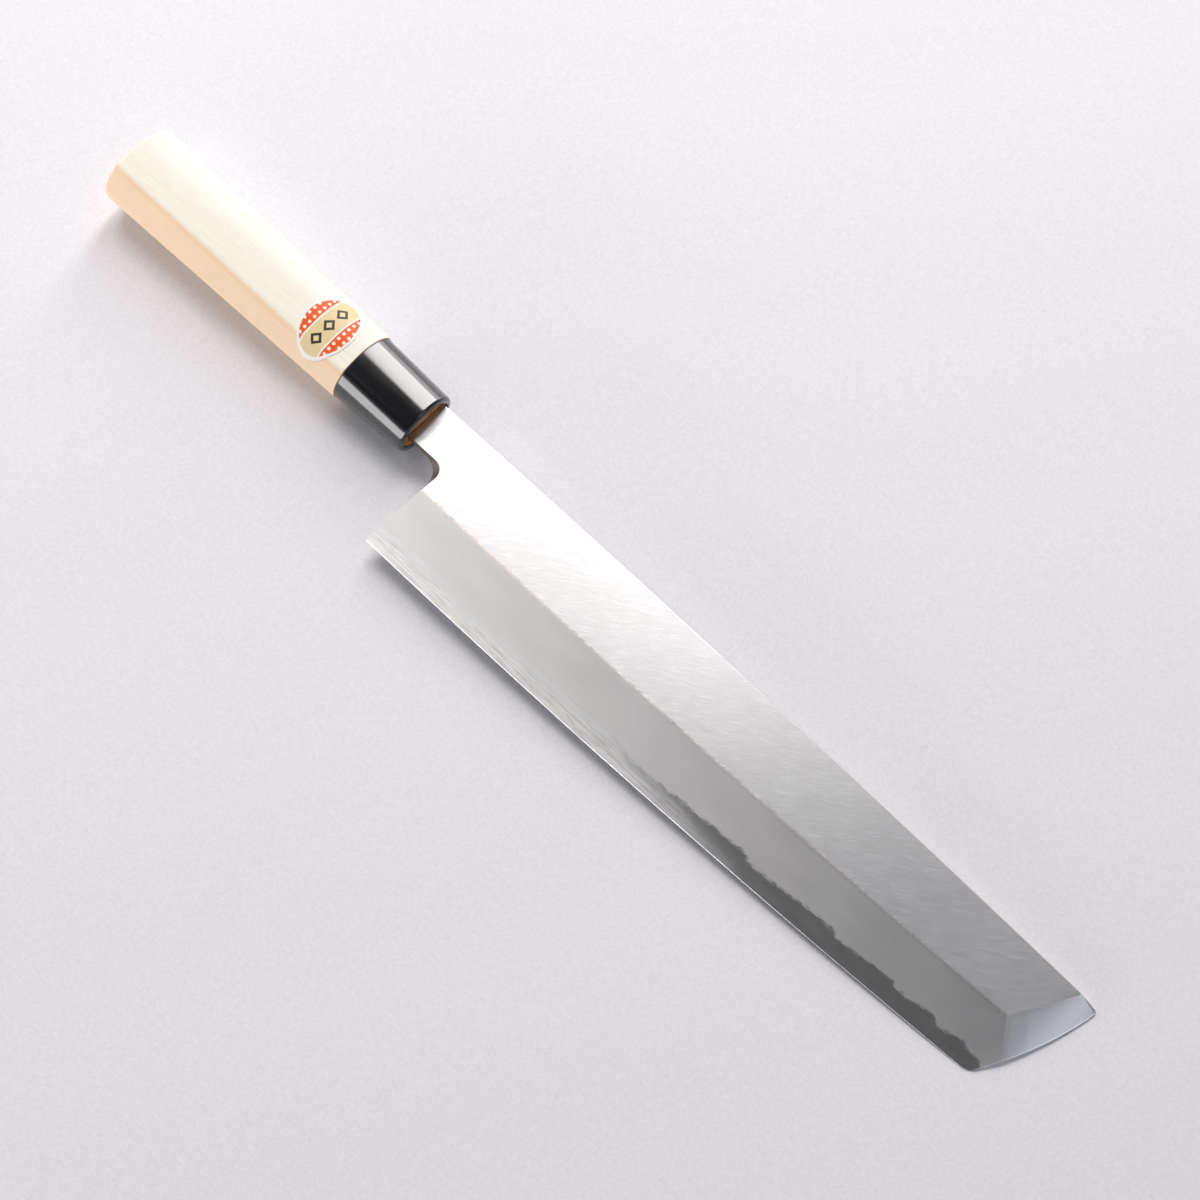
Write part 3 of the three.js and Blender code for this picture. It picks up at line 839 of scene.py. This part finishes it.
STREAK = (0.13, 6.4, 0.4), 3.0, 0.6
STREAK_RAMP = 0.32, 0.68
MIST = (0.10, 0.45, 0.4), 3.0, 0.55
POLISH_RAMP = 114, 173  # along the knife, where the steel turns smooth and dark
POLISH_SLANT = -5.0  # how that moves for each millimetre below the weld line
POLISH_DRIFT = 30.0  # how far mist moves it
HALO_RAMP = 3.0, 0.6, 0.0, 0.7  # up to the weld line
STEEL_BRIGHT = (0.50, 0.495, 0.485), (0.83, 0.83, 0.82)
STEEL_HALO = 0.645, 0.655, 0.675
STEEL_DARK = (0.44, 0.43, 0.415), (0.525, 0.515, 0.50)
STEEL_LINES = 0.35, (0.56, 0.555, 0.545)
BRIGHT_ROUGH = 0.39, 0.46
DARK_ROUGH = 0.26, 0.33
STEEL_SPREAD = 0.58, 0.29

HAZE = (1.6, 1.6, 1.6), 4.0, 0.65
CLOUD = (0.05, 0.16, 0.1), 3.0, 0.5
LINES = (0.015, 1.6, 0.2), 3.0, 0.6
FEATHER = (0.38, 1.2, 0.2), 4.0, 0.7
FEATHER_REACH = 4.2  # how far the weld line's border frays
WELD_RAMP = -0.55, 0.55
BEVEL_TONE = (0.655, 0.645, 0.642), (0.768, 0.757, 0.753)
BEVEL_ROUGH = 0.2, 0.8, 0.385, 0.405

SCRATCH_TURN = math.radians(-37)
SCRATCH_SPREAD = math.radians(12)
SCRATCH_SHARE = 0.10  # turn of the flat's shine, as a share of a full turn
SCRATCH = (0.11, 5.8, 0.05), 3.0, 0.65
SCRATCH_RAMP = 0.50, 0.68
CROSS = (0.14, 5.0, 0.05), 3.0, 0.65
CROSS_RAMP = 0.52, 0.70
CLUMP = (0.06, 0.2, 0.1), 2.0, 0.5
CLUMP_RAMP = 0.3, 0.7, 0.7, 1.0
FLAT_MIDDLE, FLAT_TIP = (90, 190), (205, 250)  # ramps along the knife between the flat's tones
# The flat's tones below are painted light and shade: lighter at the heel, darker in the middle, lighter
# again at the tip.
FLAT_GROUND = (0.582, 0.581, 0.587), (0.494, 0.497, 0.508), (0.606, 0.610, 0.623)
FLAT_GLINT = (0.757, 0.756, 0.762), (0.642, 0.646, 0.662), (0.692, 0.696, 0.712)
FLAT_ROUGH = 0.25, 0.75, 0.28, 0.36

FACET_TONE = (0.685, 0.69, 0.705), (0.735, 0.74, 0.757)
FACET_ROUGH = 0.2, 0.8, 0.35, 0.41

FRINGE = (0.12, 1.5, 0.05), 3.0, 0.6
FRINGE_REACH = 2.4  # how far the border between bevel and flat frays
FLAT_RAMP = -0.25, 0.25
OFF_FACET = 0.2, 0.0
TIPWARD = 70, 170
# Lines painted on the iron: a warm painted highlight along the ridge between bevel and flat, fading towards
# the tip, and painted shade just below it.
RIDGE_HIGHLIGHT_PEAK, RIDGE_HIGHLIGHT = (0.0, 0.32, 0.05), (1.0, (0.98, 0.85, 0.72))
RIDGE_HIGHLIGHT_FADE = *TIPWARD, 0.6, 0.22
SHADE_PEAK, SHADE_LINE = (-0.55, 0.6, 0.1), (0.35, (0.46, 0.45, 0.45))
# painted highlight along the spine's upper edge, towards the tip
SPINE_HIGHLIGHT_RAMP, SPINE_HIGHLIGHT = (0.36, 0.20), (1.0, (0.60, 0.53, 0.45))
# painted highlight along the crest of the tip facet
CREST_HIGHLIGHT_PEAK, CREST_HIGHLIGHT = (0.24, 0.24, 0.04), (0.6, (0.93, 0.93, 0.94))
# painted highlight along the rim of the tip end
TIP_RIM_HIGHLIGHT_RAMP, TIP_RIM_HIGHLIGHT = (0.50, 0.25), (1.0, (0.97, 0.97, 0.98))
IRON_BUMP, STEEL_BUMP = 0.001, 0.0006

# The honed strip's colour is painted light: a painted highlight at the heel, painted shade towards the tip.
HONED = 0.24, 0.15  # down to the edge
HONED_RAMP = 130, 205  # along the knife, where the honed strip turns from bright to dark
HONED_PAINTED_LIGHT = (0.80, 0.80, 0.81), (0.30, 0.30, 0.305)
HONED_ROUGH = 0.42

SKIN_MOTTLE = (1.1, 1.1, 1.1), 5.0, 0.65
SKIN_GRIND = (0.4, 0.4, 5.0), 3.0, 0.5
SKIN_TONE = (0.215, 0.17, 0.138), (0.415, 0.357, 0.31)
SKIN_ROUGH = 0.3, 0.7, 0.28, 0.50
SKIN_BUMP = 0.02


def blade_metal(tree, finish, depth):
    return {
        "Base Color": finish["tone"],
        "Metallic": 1.0,
        "Roughness": finish["rough"],
        "Anisotropic": finish["spread"],
        "Tangent": add(tree, "Tangent", direction_type="UV_MAP", uv_map=GRAIN_MAP),
        "Normal": bump(finish["height"], depth),
    }


def join_finishes(share, a, b):
    joined = {key: share.mix(a[key], b[key]) for key in ("rough", "spread", "height")}
    joined["tone"] = share.blend(a["tone"], b["tone"])
    return joined


def steel_finish(tree):
    """Edge steel with lengthwise lines: bright at the heel and towards the edge, dark towards the tip."""
    streak = speckle(tree, STREAK)
    mist = speckle(tree, MIST)
    depth = attribute(tree, "weld") * -1.0
    polish = (mist * POLISH_DRIFT + (depth * POLISH_SLANT + along_knife(tree))).ramp(*POLISH_RAMP)
    bright = streak.ramp(*STREAK_RAMP).blend(*STEEL_BRIGHT)
    bright = depth.ramp(*HALO_RAMP).blend(bright, STEEL_HALO)
    dark = overlay(mist.blend(*STEEL_DARK), (streak, STEEL_LINES))
    return {
        "tone": polish.blend(bright, dark),
        "rough": polish.mix(streak.mix(*BRIGHT_ROUGH), mist.mix(*DARK_ROUGH)),
        "spread": polish.mix(*STEEL_SPREAD),
        "height": streak,
    }


def bevel_finish(tree):
    """Hazy iron over brushed steel, with a feathered border where their weld comes to the surface."""
    haze = speckle(tree, HAZE)
    above = attribute(tree, "weld").frayed(speckle(tree, FEATHER), FEATHER_REACH)
    iron_finish = {
        "tone": ((haze + speckle(tree, LINES)) / 2).blend(*BEVEL_TONE),
        "rough": speckle(tree, CLOUD).ramp(*BEVEL_ROUGH),
        "spread": 0.58,
        "height": haze,
    }
    return join_finishes(above.ramp(*WELD_RAMP), steel_finish(tree), iron_finish)


def flat_painted_light_tone(tree, tones):
    """A tone of the flat that changes along the knife as painted light and shade: lighter at the heel,
    darker in the middle and lighter again at the tip.
    """
    rear, middle, tip = tones
    along = along_knife(tree)
    return along.ramp(*FLAT_TIP).blend(along.ramp(*FLAT_MIDDLE).blend(rear, middle), tip)


def flat_finish(tree):
    """Satin flat with fine crossing scratches that come in clumps."""
    scratch = speckle(tree, SCRATCH, SCRATCH_TURN)
    cross = speckle(tree, CROSS, SCRATCH_TURN + SCRATCH_SPREAD)
    clump = speckle(tree, CLUMP, SCRATCH_TURN)
    marks = scratch.ramp(*SCRATCH_RAMP).math("MAXIMUM", cross.ramp(*CROSS_RAMP)) * clump.ramp(*CLUMP_RAMP)
    return {
        "tone": marks.blend(flat_painted_light_tone(tree, FLAT_GROUND), flat_painted_light_tone(tree, FLAT_GLINT)),
        "rough": scratch.ramp(*FLAT_ROUGH),
        "spread": 0.24,
        "height": scratch,
    }


def facet_finish(tree):
    """Cooler and finer ground tip facet."""
    haze = speckle(tree, HAZE)
    return {
        "tone": haze.blend(*FACET_TONE),
        "rough": haze.ramp(*FACET_ROUGH),
        "spread": 0.0,
        "height": haze,
    }


def iron_recipe(tree):
    """Scratched flat, hazy bevel and tip facet, with a painted highlight line along each of the blade's
    ridges and rims, and a painted shade line on the bevel just below the ridge towards the tip.
    """
    facet = attribute(tree, "facet")
    border = attribute(tree, "grind").frayed(speckle(tree, FRINGE, SCRATCH_TURN), FRINGE_REACH)
    on_flat = border.ramp(*FLAT_RAMP)
    finish = join_finishes(on_flat, bevel_finish(tree), flat_finish(tree))
    finish = join_finishes(facet, finish, facet_finish(tree))
    along = along_knife(tree)
    tipward = along.ramp(*TIPWARD)
    off_facet = facet.ramp(*OFF_FACET)
    # painted highlights along the ridge, the spine, the facet's crest and the tip's rim, and a painted
    # shade line below the ridge
    finish["tone"] = overlay(
        finish["tone"],
        (border.peak(*RIDGE_HIGHLIGHT_PEAK) * off_facet * along.ramp(*RIDGE_HIGHLIGHT_FADE), RIDGE_HIGHLIGHT),
        (border.peak(*SHADE_PEAK) * off_facet * tipward, SHADE_LINE),
        (attribute(tree, "off_spine").ramp(*SPINE_HIGHLIGHT_RAMP) * tipward, SPINE_HIGHLIGHT),
        (facet.peak(*CREST_HIGHLIGHT_PEAK), CREST_HIGHLIGHT),
        (attribute(tree, "off_tip").ramp(*TIP_RIM_HIGHLIGHT_RAMP), TIP_RIM_HIGHLIGHT),
    )
    turn = {"Anisotropic Rotation": on_flat.mix(0.0, SCRATCH_SHARE)}
    return blade_metal(tree, finish, IRON_BUMP) | turn


def steel_recipe(tree):
    """The bevel's finish, with a honed strip at the edge itself whose colour is painted light: a painted
    highlight at the heel that turns to painted shade towards the tip.
    """
    finish = bevel_finish(tree)
    honed = attribute(tree, "rise").ramp(*HONED)
    # painted highlight on the honed strip at the heel, painted shade towards the tip
    honed_light = along_knife(tree).ramp(*HONED_RAMP).blend(*HONED_PAINTED_LIGHT)
    finish["tone"] = honed.blend(finish["tone"], honed_light)
    finish["rough"] = honed.mix(finish["rough"], HONED_ROUGH)
    return blade_metal(tree, finish, STEEL_BUMP)


def skin_recipe(tree):
    """Unpolished forge skin on the walls between neck and heel."""
    mottle = speckle(tree, SKIN_MOTTLE)
    grind = speckle(tree, SKIN_GRIND)
    return {
        "Base Color": mottle.blend(*SKIN_TONE),
        "Metallic": 1.0,
        "Roughness": grind.ramp(*SKIN_ROUGH),
        "Normal": bump((mottle + grind) / 2, SKIN_BUMP),
    }


# Wood of the grip

GRAIN = (0.02, 2.4, 2.4), 5.0, 0.65
PORES = (0.11, 4.5, 4.5), 2.0, 0.5
PORE_RAMP = 0.62, 0.72
PORE_DEPTH = 0.8  # against the height of the grain
TINT = (0.02, 0.12, 0.12), 2.0, 0.5
RING_WANDER = (0.012, 0.05, 0.05), 2.0, 0.5
RING_DRIFT = 9.0  # how many rings they wander
RING_WIDTH = 2.2
RING_AXIS, RING_SCALE = (0, 46, 60), (0.02, 1, 1)  # offset of the rings' axis, and their stretch along it
LATE_RAMP = 0.55, 0.95  # share of a ring that is late wood
# Painted light and shade: the upper side is a paler, washed-out copy of the wood, lighter towards the
# ridge; the lower side is a warmer, deeper copy.
UPPER_LIT_TONE = (0.785, 0.76, 0.68), (0.845, 0.825, 0.76)
MIDDLE_LIT_TONE = (0.865, 0.82, 0.695), (0.97, 0.93, 0.825)
LOWER_SHADED_TONE = (0.90, 0.635, 0.405), (0.99, 0.755, 0.525)
MIDDLE_RAMP, LOWER_RAMP = (-14, -3), (0.0, 1.2)  # down past the ridge
LATE_LAYER = 0.12, (0.82, 0.62, 0.42)
TINT_LAYER = 0.15, (0.93, 0.80, 0.66)
PORE_LAYER = 0.28, (0.62, 0.42, 0.27)
# painted shade in a darker line just below the ridge
RIDGE_SHADE_PEAK, RIDGE_SHADE_LAYER = (1.4, 1.0, 0.1), (0.25, (0.85, 0.50, 0.26))  # just below the ridge
END_RAMP = 1.0 - HANDLE_LENGTH, 0.2 - HANDLE_LENGTH
END_TONE = (0.76, 0.62, 0.45), (0.88, 0.76, 0.60)
END_LATE_LAYER = 0.4, (0.66, 0.47, 0.29)
RIM_RAMP = -FERRULE_LENGTH - FRONT_ROUND, -FERRULE_LENGTH
RIM_LAYER = 0.85, (0.42, 0.19, 0.08)
WOOD_ROUGH = 0.2, 0.8, 0.52, 0.66
WOOD_BUMP = 0.02, 0.6


def ring_place(tree):
    """How many growth rings lie inside a point, round an axis beside the handle."""
    shifted = add(tree, "Mapping", {"Vector": place(tree), "Location": RING_AXIS, "Scale": RING_SCALE})
    length = add(tree, "VectorMath", {0: shifted}, "Value", operation="LENGTH")
    return speckle(tree, RING_WANDER) * RING_DRIFT + length / RING_WIDTH


def wood_recipe(tree):
    """Pale straight-grained magnolia with end grain on the butt, in painted light and shade: paler above
    the ridge and warmer below it, with a painted shade line just under the ridge.
    """
    below = attribute(tree, "below")
    along = along_knife(tree)
    late = ring_place(tree).math("FRACT").ramp(*LATE_RAMP)
    grain = speckle(tree, GRAIN)
    pores = speckle(tree, PORES).ramp(*PORE_RAMP)
    # the upper side in paler painted light, the lower side in warmer painted shade
    upper = below.ramp(*MIDDLE_RAMP).blend(grain.blend(*UPPER_LIT_TONE), grain.blend(*MIDDLE_LIT_TONE))
    tone = overlay(
        below.ramp(*LOWER_RAMP).blend(upper, grain.blend(*LOWER_SHADED_TONE)),
        (late, LATE_LAYER),
        (speckle(tree, TINT), TINT_LAYER),
        (pores, PORE_LAYER),
        (below.peak(*RIDGE_SHADE_PEAK), RIDGE_SHADE_LAYER),
    )
    butt = overlay(grain.blend(*END_TONE), (late, END_LATE_LAYER))
    tone = along.ramp(*END_RAMP).blend(tone, butt)
    return {
        "Base Color": overlay(tone, (along.ramp(*RIM_RAMP), RIM_LAYER)),
        "Roughness": grain.ramp(*WOOD_ROUGH),
        "Specular IOR Level": 0.35,
        "Normal": bump(grain - pores * PORE_DEPTH, *WOOD_BUMP),
    }


# Resin of the ferrule and the seal

SMEAR = (0.05, 0.3, 0.3), 4.0, 0.6
HAIR = (0.05, 5.0, 5.0), 3.0, 0.5
FERRULE_TONE = (0.0015, 0.0015, 0.0018), (0.0040, 0.0040, 0.0045)
SMEAR_ROUGH = 0.3, 0.75, 0.15, 0.22
HAIR_ROUGH = 0.06
FERRULE_BUMP = 0.002

MOTTLE = (0.55, 0.55, 0.55), 5.0, 0.6
MOTTLE_RAMP = 0.35, 0.65
GRIT = (3.2, 3.2, 3.2), 3.0, 0.5
SEAL_TONE = (0.31, 0.115, 0.027), (0.68, 0.275, 0.06)
NECK_DARK_REACH = 1.1  # how far grit frays the dark rim by the neck
NECK_DARK_RAMP = 1.25, 0.55  # towards the neck
NECK_DARK_TONE = 0.012, 0.008, 0.006
SEAL_ROUGH = 0.35, 0.62, 0.55, 0.16
SEAL_BUMP = 0.08, 0.7


def ferrule_recipe(tree):
    """Polished black resin with faint smears and hairline scratches."""
    smear = speckle(tree, SMEAR)
    hair = speckle(tree, HAIR)
    return {
        "Base Color": smear.blend(*FERRULE_TONE),
        "Roughness": smear.ramp(*SMEAR_ROUGH) + hair * HAIR_ROUGH,
        "IOR": 1.54,
        "Coat Weight": 1.0,
        "Coat Roughness": 0.14,
        "Normal": bump(hair, FERRULE_BUMP),
    }


def seal_recipe(tree):
    """Amber brown resin, darker where it meets the neck and glossy in spots."""
    mottle = speckle(tree, MOTTLE)
    grit = speckle(tree, GRIT)
    neck_dark = (attribute(tree, "off_neck") + grit * NECK_DARK_REACH).ramp(*NECK_DARK_RAMP)
    return {
        "Base Color": neck_dark.blend(mottle.ramp(*MOTTLE_RAMP).blend(*SEAL_TONE), NECK_DARK_TONE),
        "Roughness": mottle.ramp(*SEAL_ROUGH),
        "IOR": 1.45,
        "Specular IOR Level": 0.3,
        "Normal": bump((mottle + grit) / 2, *SEAL_BUMP),
    }


# Paper of the label

FIBRE = (2.5, 2.5, 2.5), 4.0, 0.5
FIELD_TONE = (0.80, 0.085, 0.006), (0.86, 0.12, 0.014)
DOT_TONE = 0.92, 0.86, 0.78
GOLD_TONE = (0.72, 0.55, 0.27), (0.82, 0.67, 0.40)
INK_TONE = 0.05, 0.04, 0.035
PAPER_TONE = 0.90, 0.87, 0.82
PAPER_ROUGH = 0.2, 0.8, 0.40, 0.52
PAPER_BUMP = 0.006
PRINT_BLUR = 0.05  # half width of a printed border
LABEL_BAND = 3.7  # half width of the gold band across the label
LABEL_RULE = 0.55  # white rule on each side of it
LABEL_MARGIN = 0.75  # bare paper along the rim
MARGIN_BLUR = 0.01  # as a share of the label's half length
DOT_PITCH = 2.2
DOT_RADIUS = 0.55
DOT_BLUR = -0.06  # below 0, for 1 on the inside
DOT_SHIFT = 100  # pitches that keep the rows' coordinate above 0
LOZENGE_PITCH = 2.9  # half the distance from one to the next
LOZENGE_LENGTH, LOZENGE_WIDTH = 2.3, 2.5  # half sizes
LOZENGE_OUTSIDE, LOZENGE_INSIDE = (1.04, 0.96), (0.52, 0.46)  # shares of its size
LOZENGE_END = 8.7, 8.6


def label_rim(tree):
    """1 on the bare margin along the label's rim."""
    moved = add(tree, "Mapping", {"Vector": place(tree), "Location": (-LABEL_MIDDLE, 0, 0)})
    scale = (2 / LABEL_LENGTH, 2 / LABEL_WIDTH, 0)
    scaled = add(tree, "VectorMath", {0: moved, 1: scale}, operation="MULTIPLY")
    radius = add(tree, "VectorMath", {0: scaled}, "Value", operation="LENGTH")
    return radius.border(1 - 2 * LABEL_MARGIN / LABEL_LENGTH, MARGIN_BLUR)


def lozenges(out, v):
    """Three upright hollow lozenges in a row across the label."""
    pitch = (v + LOZENGE_PITCH).math("PINGPONG", LOZENGE_PITCH)
    size = out / LOZENGE_LENGTH + abs(pitch - LOZENGE_PITCH) / LOZENGE_WIDTH
    return (size.ramp(*LOZENGE_OUTSIDE) - size.ramp(*LOZENGE_INSIDE)) * abs(v).ramp(*LOZENGE_END)


def dot_rows(out, v):
    """Rows of dots on both sides of the band, along it."""
    column = (v + DOT_PITCH * DOT_SHIFT) % DOT_PITCH - DOT_PITCH / 2
    row = (out - (LABEL_BAND + LABEL_RULE)) % DOT_PITCH - DOT_PITCH / 2
    return (column * column + row * row).math("SQRT").border(DOT_RADIUS, DOT_BLUR)


def label_recipe(tree):
    """Coated paper: orange fields with rows of dots, and a pale gold band with three dark lozenges."""
    out = abs(attribute(tree, "label_x"))
    v = attribute(tree, "label_y")
    fibre = speckle(tree, FIBRE)
    field = dot_rows(out, v).blend(fibre.blend(*FIELD_TONE), DOT_TONE)
    gold = lozenges(out, v).blend(fibre.blend(*GOLD_TONE), INK_TONE)
    tone = out.border(LABEL_BAND, PRINT_BLUR).blend(gold, PAPER_TONE)
    tone = out.border(LABEL_BAND + LABEL_RULE, PRINT_BLUR).blend(tone, field)
    return {
        "Base Color": label_rim(tree).blend(tone, PAPER_TONE),
        "Roughness": fibre.ramp(*PAPER_ROUGH),
        "Specular IOR Level": 0.2,
        "Coat Weight": 0.08,
        "Coat Roughness": 0.24,
        "Normal": bump(fibre, PAPER_BUMP),
    }


def dress(piece, node, slot, *finishes):
    for finish in finishes:
        piece.data.materials.append(finish)
    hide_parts(node)
    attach(piece, "root")


iron, steel = build_blade()
forge_skin = material("forge_skin", skin_recipe)
dress(iron, "blade_iron", "soft_iron", material("satin_iron", iron_recipe), forge_skin)
dress(steel, "edge_steel", "edge_steel", material("polished_steel", steel_recipe), forge_skin)
dress(build_grip(), "handle_grip", "magnolia_wood", material("pale_magnolia", wood_recipe))
dress(build_ferrule(), "ferrule", "black_resin", material("polished_black", ferrule_recipe))
dress(build_seal(), "tang_seal", "brown_resin", material("amber_resin", seal_recipe))
dress(build_label(), "label", "label_paper", material("coated_paper", label_recipe))


# Floor, light and camera

FLOOR_SIZE = 8.0
TOOTH = (0.9, 0.9, 0.9), 6.0, 0.75
DRIFT = (0.004, 0.004, 0.004), 2.0, 0.5
FLOOR_TONE = (0.645, 0.634, 0.674), (0.965, 0.953, 0.984)
DRIFT_LAYER = 0.25, (0.816, 0.802, 0.836)
FLOOR_ROUGH = 0.2, 0.8, 0.8, 0.92
FLOOR_BUMP = 0.05, 0.5

CEILING_RAMP = 0.34, 0.59  # by the upward part of a direction
WALL_LIGHT = 0.40, 0.41, 0.44
CEILING_LIGHT = 0.075, 0.080, 0.092

# Soft lamps: where they stand, what they face, their width and height in metres, power and colour
LAMPS = {
    "key": ((-0.768, 0.308, 1.046), (-0.03, 0.0, 0.0), (0.513, 0.418), 6.3, (1.0, 0.965, 0.95)),
    "back": ((-0.47, 1.05, 1.0), (-0.12, -0.1, 0.0), (0.38, 1.40), 16.0, (1.0, 0.965, 0.95)),
    "fill": ((-0.33, -0.98, 0.12), (-0.10, 0.0, 0.02), (1.8, 0.22), 7.0, (0.985, 0.985, 0.985)),
    "low": ((-0.54, 1.27, 0.20), (-0.10, 0.0, 0.02), (1.2, 0.30), 3.0, (1.0, 0.985, 0.97)),
    "left": ((-0.75, -0.39, 0.92), (-0.08, 0.0, 0.0), (0.5, 0.5), 1.3, (1.0, 0.98, 0.965)),
    "side": ((0.85, 0.25, 1.1), (0.1, 0.0, 0.0), (0.6, 0.6), 1.4, (0.92, 0.95, 1.0)),
}

CAMERA_TARGET = Vector((0.0073, 0.0109, 0.0))
CAMERA_AZIMUTH = math.radians(44.04)
CAMERA_ELEVATION = math.radians(68.0)
CAMERA_DISTANCE = 0.9178
CAMERA_LENS = 90.0


def floor_recipe(tree):
    """Pale lilac-grey paper with a fine tooth."""
    tooth = speckle(tree, TOOTH)
    return {
        "Base Color": overlay(tooth.blend(*FLOOR_TONE), (speckle(tree, DRIFT), DRIFT_LAYER)),
        "Roughness": tooth.ramp(*FLOOR_ROUGH),
        "Specular IOR Level": 0.2,
        "Normal": bump(tooth, *FLOOR_BUMP),
    }


def build_floor():
    half = FLOOR_SIZE / 2
    mesh = bpy.data.meshes.new("floor")
    corners = [(-half, -half, 0), (half, -half, 0), (half, half, 0), (-half, half, 0)]
    mesh.from_pydata(corners, [], [(0, 1, 2, 3)])
    floor = bpy.data.objects.new("floor", mesh)
    bpy.context.collection.objects.link(floor)
    mesh.materials.append(material("floor_paper", floor_recipe))


def softbox(name, spot, aim, size, power, colour):
    lamp = bpy.data.lights.new(name, "AREA")
    lamp.shape = "RECTANGLE"
    lamp.size, lamp.size_y = size
    lamp.energy = power
    lamp.color = colour
    obj = bpy.data.objects.new(name, lamp)
    bpy.context.collection.objects.link(obj)
    obj.location = spot
    obj.rotation_euler = (Vector(aim) - Vector(spot)).to_track_quat("-Z", "Y").to_euler()


def build_world():
    """A pale studio under a dark ceiling."""
    world = bpy.data.worlds.new("studio")
    world.use_nodes = True
    tree = world.node_tree
    up = add(tree, "SeparateXYZ", {0: add(tree, "TexCoord", output="Generated")}, "Z")
    tone = up.ramp(*CEILING_RAMP).blend(WALL_LIGHT, CEILING_LIGHT)
    feed(tree, tree.nodes["Background"].inputs["Color"], tone)
    bpy.context.scene.world = world


def build_camera():
    lens = bpy.data.cameras.new("camera")
    lens.lens = CAMERA_LENS
    camera = bpy.data.objects.new("camera", lens)
    bpy.context.collection.objects.link(camera)
    level = math.cos(CAMERA_ELEVATION)
    sideways, forward = math.sin(CAMERA_AZIMUTH) * level, math.cos(CAMERA_AZIMUTH) * level
    back = Vector((sideways, -forward, math.sin(CAMERA_ELEVATION)))
    camera.location = CAMERA_TARGET + back * CAMERA_DISTANCE
    camera.rotation_euler = (-back).to_track_quat("-Z", "Y").to_euler()
    bpy.context.scene.camera = camera


build_floor()
build_world()
build_camera()
for lamp_name, settings in LAMPS.items():
    softbox(lamp_name, *settings)
bpy.context.scene.view_settings.view_transform = "Standard"
